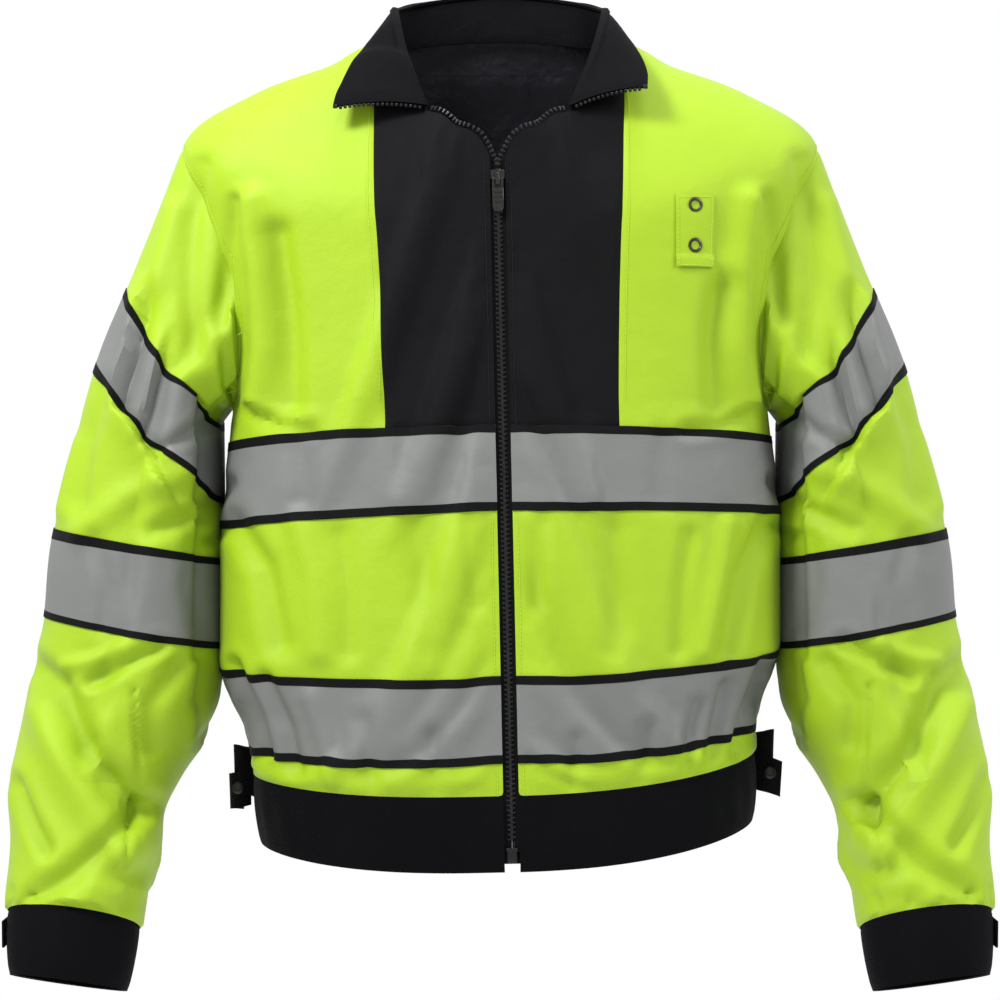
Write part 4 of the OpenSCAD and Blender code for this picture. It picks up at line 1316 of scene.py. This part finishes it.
def make_slider():
    """Two plates joined by a wedge, with side flanges and a bridge; the pull hangs from the bridge."""
    slider = []
    for y, w in ((-2.9, 10.2), (2.9, 9.6)):
        slider.append(block((w, 1.7, 6.5), (0, y, -3.6), 0.6))
        slider.append(block((w - 2.2, 1.7, 8.6), (0, y, -10.4), 0.6))
    slider.append(block((2.6, 5.0, 3.4), (0, 0, -1.9), 0.5))
    slider += [block((1.0, 1.6, 7.5), (x, y, -10.6), 0.3) for x in (3.7, -3.7) for y in (-2.0, 2.0)]
    slider.append(block((2.6, 1.6, 8.8), (0, -6.2, -7.4), 0.6))
    slider += [block((2.6, 2.6, 2.0), (0, -4.6, z), 0.5) for z in (-3.9, -11.0)]
    solid("zip_slider_cast", [zip_place(p, TEETH_START) for p in slider], ENAMEL, "zip_slider",
          ["zip_slider_body"], 30)
    hinge_y, hinge_z = -5.5, -7.5
    pull = [rod((-3.9, hinge_y, hinge_z), (3.9, hinge_y, hinge_z), 0.85, 12)]
    pull += [block((2.0, 1.6, 7.4), (x, hinge_y, hinge_z - 2.6), 0.4) for x in (3.2, -3.2)]
    pull.append(block((8.2, 1.7, 15.6), (0, hinge_y, hinge_z - 14.2), 0.6))
    pull += [block((6.2, 0.9, 2.2), (0, hinge_y - 1.0, hinge_z + z), 0.35) for z in (-9.0, -12.6, -16.2)]
    pull.append(block((6.4, 1.5, 3.0), (0, hinge_y, hinge_z - 22.6), 0.7))
    solid("zip_pull_cast", [zip_place(p, TEETH_START) for p in pull], ENAMEL, "zip_pull",
          ["zip_pull_tab"], 30)
    box = [block((7.6, 5.2, 10.4), (0, 0, 1.8), 0.7), block((8.4, 1.6, 2.4), (0, -2.2, 6.2), 0.4)]
    solid("zip_box_moulded", [zip_place(b, ZIP_LEN) for b in box], MOULDED, "torso", ["zip_retainer_box"], 30)
    pin = rod((1.7, 0, 1.7), (1.7, 0, 12), 1.0, 12)
    solid("zip_pin_moulded", [zip_place(pin, ZIP_LEN)], MOULDED, "torso", ["zip_insertion_pin"], 30)


make_zip()
make_slider()


# ---------------------------------------------------------------- waistband, cuffs
def band_profile(t):
    """Outward bulge of a padded band across its width."""
    return 2.2 * np.sin(pi * t) ** 0.6 - 1.2


BAND_ROWS = np.linspace(0, 1, 11)


def band_point(u, t, bulge):
    """A point of the waistband, t of the way up it, moved out by band_profile and the bulge."""
    p = low(u, mix(hem_line(u), waist_line(u) - 0.2, t))
    out = low(u, p[2]) - low(u + 180, p[2])
    return p + out / np.linalg.norm(out) * (band_profile(t) + bulge)


def band_piece(name, us, thick, held, bulge):
    pts = [band_point(u, t, bulge(u, t)) for t in BAND_ROWS for u in us]
    sheet_piece(f"{name[0]}_cloth{name[1]}", pts, grid_quads(len(BAND_ROWS), len(us)), BAND, thick,
                lambda p: p * np.array([1, 1, 0]), "torso", [name[0] + name[1]], held=held, rise=0.8)


def back_gather(u, t):
    """Elastic gathers with three sewn channels, which fade out at the side seams."""
    gather = 1.5 * sin(u * 4.1 + 1.7 * sin(u * 0.37)) * (0.35 + 0.65 * np.sin(pi * t))
    rib = -0.9 * sum(hump(t, c, 0.05) for c in (0.25, 0.5, 0.75))
    return -0.6 + (gather + rib) * min(1, (u - 90) / 8, (270 - u) / 8)


def make_waistband():
    for side, word in SIDES:
        us = [side * u for u in [u_at(FRONT_GAP / 2, HEM)] + list(np.linspace(2.5, 90, 46))]
        band_piece(("waistband_front", f"_{word}"), us, 2.4, "stretched",
                   lambda u, t: 0.5 * sin(u * 0.55 + t * 2) * np.sin(pi * t) - 0.4)
    band_piece(("waistband_back", ""), np.linspace(90, 270, 420), 2.2, "gathered", back_gather)


# Along the sleeve, in rings: the cuff, and the lining inside the forearm
CUFF_TOP, CUFF_END = 9.985, 11
INNER_TOP, INNER_END = 7.1, 10.3
TAB_TOP, TAB_END = 10.12, 10.6
# A snap's cap: (radius, height)
CUFF_SNAP = [(0.2, 0), (5.6, 0), (5.9, 0.4), (5.2, 1.0), (3.4, 1.25), (2.6, 0.7), (0.2, 0.6)]
STRAP_SNAP = [(0.2, 0), (4.6, 0), (4.9, 0.4), (4.2, 0.9), (2.6, 1.1), (2.0, 0.6), (0.2, 0.5)]


def make_cuffs():
    n_up, n_round = 9, 72
    for side, word in SIDES:
        flip = np.array([side, 1, 1])
        pts = []
        for t in np.linspace(0, 1, n_up):
            for i in range(n_round):
                q = 360 * i / n_round
                k = mix(CUFF_TOP, CUFF_END, t)
                p = sleeve_point(q, k)
                mid = (p + sleeve_point(q + 180, k)) / 2
                out = (p - mid) / np.linalg.norm(p - mid)
                ripple = 0.4 * sin(radians(q * 5)) * np.sin(pi * t)
                pts.append((p + out * (band_profile(t) - 0.6 + ripple)) * flip)
        centre = (sleeve_point(0, 10.5) + sleeve_point(180, 10.5)) / 2 * flip
        inner, inner_n = [], 12
        for k in np.linspace(INNER_TOP, INNER_END, inner_n):
            mid = (sleeve_point(0, k) + sleeve_point(180, k)) / 2
            shrink = mix(0.70, 0.93, ((k - INNER_TOP) / (INNER_END - INNER_TOP)) ** 2)
            inner += [mix(mid, sleeve_point(360 * i / n_round, k), shrink) * flip for i in range(n_round)]
        out_of = lambda p: (p - centre) * np.array([1, 1, 0])
        body = f"forearm_{word}_body"
        sheet_piece(f"forearm_lining_cloth_{word}", inner, grid_quads(inner_n, n_round, True), LINING, 0.7,
                    out_of, body, [f"forearm_lining_{word}"], 1, held="gathered")
        sheet_piece(f"cuff_cloth_{word}", pts, grid_quads(n_up, n_round, True), BAND, 2.4,
                    out_of, body, [f"cuff_{word}"], 1, rise=0.6)
        at = sleeve_point(0, TAB_TOP)
        down = sleeve_point(0, TAB_END) - at
        down /= np.linalg.norm(down)
        across = np.array([0, 1.0, 0])
        out = np.cross(across, down)
        out *= np.sign(out[0])
        turn = np.array([across, out, down]).T
        points, faces = placed(block((26, 2.0, 20), (0, 2.2, 11), 0.8), turn, at)
        solid(f"cuff_tab_cloth_{word}", [(points * flip, faces)], BAND, body, [f"cuff_tab_{word}"])
        points, faces = turned(CUFF_SNAP, 32, np.array([across, down, out]).T,
                               at + out * 3.0 + down * 10 + across * 7)
        solid(f"cuff_snap_{word}", [(points * flip, faces)], SNAP, body)


make_waistband()
make_cuffs()


# ---------------------------------------------------------------- badge tab and waist straps
# Where the badge tab's middle lies: rings above the armpit, distance from the middle of the coat
BADGE_V, BADGE_X = 2.35, 146


def badge_frame():
    """The middle of the badge tab on the cloth, and its directions across, up and out."""
    u = u_at(BADGE_X, ring_at(BADGE_V)[0])
    spot, out = shell.near(upper(u, BADGE_V))
    across = np.cross((0, 0, 1), out)
    across /= np.linalg.norm(across)
    return spot, across, np.cross(out, across), out


# The badge tab's size and hem, and its eyelets' heights from its middle
BADGE_W, BADGE_H, BADGE_HEM = 30, 54, 8
EYELETS = (19, -11)


def make_badge():
    spot, across, up, out = badge_frame()
    nx, nz = 19, 31
    pts = []
    for j in range(nz):
        for i in range(nx):
            x, z = BADGE_W * (i / (nx - 1) - 0.5), BADGE_H * (j / (nz - 1) - 0.5)
            dents = sum(hump(x, 0, 5) * hump(z, eyelet, 5) for eyelet in EYELETS)
            hem = 0.8 if z < -BADGE_H / 2 + BADGE_HEM else 0.0
            pts.append(on_badge(spot, across, up, x, z, 0.9 - 0.5 * dents + hem))
    sheet_piece("badge_tab_cloth", pts, grid_quads(nz, nx), LIME, 0.8, lambda p: out, "torso", ["badge_tab"],
                held="laid", rise=0.4)
    rim = [(3.0, -0.8), (3.3, 0.3), (4.2, 1.0), (5.2, 0.75), (5.6, 0.1), (5.3, -0.3), (4.0, -0.5),
           (3.6, -1.6), (3.0, -1.8)]
    parts = [turned(rim, 40, np.array([across, up, out]).T, on_badge(spot, across, up, 0, eyelet, 1.2))
             for eyelet in EYELETS]
    solid("badge_eyelet_rims", parts, ANTIQUE, "torso", ["badge_eyelets"])
    rows = []
    for x0, z0, x1, z1 in ((-13, 25, 13, 25), (13, 25, 13, -26), (13, -26, -13, -26), (-13, -26, -13, 25),
                           (-13, -18.5, 13, -18.5)):
        path = [on_badge(spot, across, up, mix(x0, x1, t), mix(z0, z1, t), 1.5 + 0.8 * (mix(z0, z1, t) < -19))
                for t in np.linspace(0, 1, 12)]
        rows += stitches(path)
    solid("badge_stitches", rows, LIME_THREAD, "torso")


def on_badge(spot, across, up, x, z, lift):
    return off_cloth(spot + across * x + up * z, lift)


# The strap's loop and, for each side, its free end: points (out, back)
STRAP_LOOP = [(-6, 3), (2, 0), (9, -4), (13.5, -1), (12, 5), (6, 8), (1, 9), (-4, 8)]
STRAP_END = {1: [(0, 4), (5, -1), (11, -3.5), (16, -4), (21, -3)],
             -1: [(2, 4), (7, -3), (13, -4.5), (18, -1), (19, 5), (15, 9), (9, 8)]}


def make_straps():
    """Two webbing straps at each side vent: a loop sewn to the band and a free end below it."""
    for side, word in SIDES:
        flip = np.array([side, 1, 1])
        base = np.array([HEM + 6.0 + 3 * side, 8.0, -586.0 + 6 * side])
        for kind, line, middle, half, lean in (("loop", STRAP_LOOP, 4, 19, 0.25),
                                               ("end", STRAP_END[side], -8, 14, -0.12)):
            centre = along([(x, y, 0) for x, y in line], 30)
            pts = []
            for j, c in enumerate(centre):
                t = j / (len(centre) - 1)
                for i in range(9):
                    z = mix(-half, half, i / 8)
                    curl = 1.2 * sin(3.1 * t + 0.09 * z)
                    pts.append((base + c + np.array([0.05 * z * t, curl - 0.03 * z,
                                                     middle + z + lean * c[0] - 3.0 * t * t])) * flip)
            nodes = [f"waist_tab_{word}"] if kind == "loop" else ()
            sheet_piece(f"waist_strap_{kind}_{word}", pts, grid_quads(len(centre), 9), WEBBING, 1.6,
                        lambda p: np.array([0, -1.0, 0]), f"tab_{word}", nodes, held="folded")
        ring = turned(STRAP_SNAP, 32, np.array([(1, 0, 0), (0, 0, 1), (0, -1, 0)]).T,
                      (base + np.array([12, -5.4, -8.0])) * flip)
        solid(f"waist_snap_{word}", [ring], ENAMEL, f"tab_{word}", [f"waist_tab_snap_{word}"])


make_badge()
make_straps()


# ---------------------------------------------------------------- topstitching
def seam_stitches(name, paths, material, lift=0.25):
    solid(name, [part for path in paths for part in stitches(path, lift)], material, "torso")


def make_stitching():
    for side, word in SIDES:
        panel = lambda v: u_at(panel_edge(v, ring_at(v)[0]), ring_at(v)[0])
        x = FRONT_GAP / 2 + 4
        edge = [low(side * u_at(x, table(HALF_W, z)), z) for z in np.linspace(-588, ARMPIT, 60)]
        edge += [upper(side * u_at(x, ring_at(v)[0]), v) for v in np.linspace(0.1, 5.6, 40)]
        top = upper_line(TAPE_W / 2)
        across = np.linspace(u_at(12, CHEST), u_at(PANEL_W - 2, CHEST), 40)
        cross = [low(side * u, top(u) + 4.5) for u in across]
        seam_stitches(f"front_stitches_{word}", [[p for p in edge if p[2] > top(0) + 4], cross], BLACK_THREAD)
        outer = [upper(side * (panel(v) + 0.9), v) for v in np.linspace(0, 5.2, 60)]
        lower = [p for p in edge if p[2] < UPPER_BAND - EDGE and abs(p[2] - LOWER_BAND) > EDGE]
        bottom = [p for p in lower if p[2] < LOWER_BAND]
        middle = [p for p in lower if p[2] > LOWER_BAND]
        hole = [upper(side * (90 - ARM_FRONT * armhole_part(v) - 2.6), v) for v in arm_vs()]
        seam_stitches(f"lime_stitches_{word}", [outer, bottom, middle, hole], LIME_THREAD)
    yoke = [upper(u, 5.08) for u in np.linspace(118, 242, 60)]
    seam_stitches("lining_stitches", [yoke], BLACK_THREAD, lift=-3.4)


make_stitching()


# ---------------------------------------------------------------- lights and stage
LIGHT_TARGET = (0, 0, -0.3)
FLOOR_HALF, FLOOR_Z = 2.4, -1.3


def area_light(name, at, size, power):
    data = bpy.data.lights.new(name, "AREA")
    data.shape = "RECTANGLE"
    data.size, data.size_y = size
    data.energy = power
    obj = bpy.data.objects.new(name, data)
    obj.location = at
    aim = Vector(LIGHT_TARGET) - Vector(at)
    obj.rotation_euler = aim.to_track_quat("-Z", "Y").to_euler()
    bpy.context.collection.objects.link(obj)


def make_stage():
    area_light("key", (-0.95, -0.95, 1.0), (0.5, 0.5), 50)
    area_light("fill", (1.9, -0.8, 0.8), (0.7, 0.7), 29)
    area_light("top", (0.3, 0.1, 2.3), (1.0, 0.6), 30)
    world = bpy.data.worlds.new("world")
    bpy.context.scene.world = world
    world.use_nodes = True
    inputs = world.node_tree.nodes["Background"].inputs
    inputs["Color"].default_value = (1, 1, 1, 1)
    inputs["Strength"].default_value = 1.0
    mesh = bpy.data.meshes.new("floor")
    corners = ((-1, -1), (1, -1), (1, 1), (-1, 1))
    mesh.from_pydata([(x * FLOOR_HALF, y * FLOOR_HALF, FLOOR_Z) for x, y in corners], [], [(0, 1, 2, 3)])
    floor = link("floor", mesh)
    mat = bpy.data.materials.new("floor")
    mat.use_nodes = True
    inputs = mat.node_tree.nodes["Principled BSDF"].inputs
    inputs["Base Color"].default_value = (0.8, 0.8, 0.8, 1)
    inputs["Roughness"].default_value = 0.9
    mesh.materials.append(mat)


make_stage()
bpy.context.scene.view_settings.view_transform = "Standard"
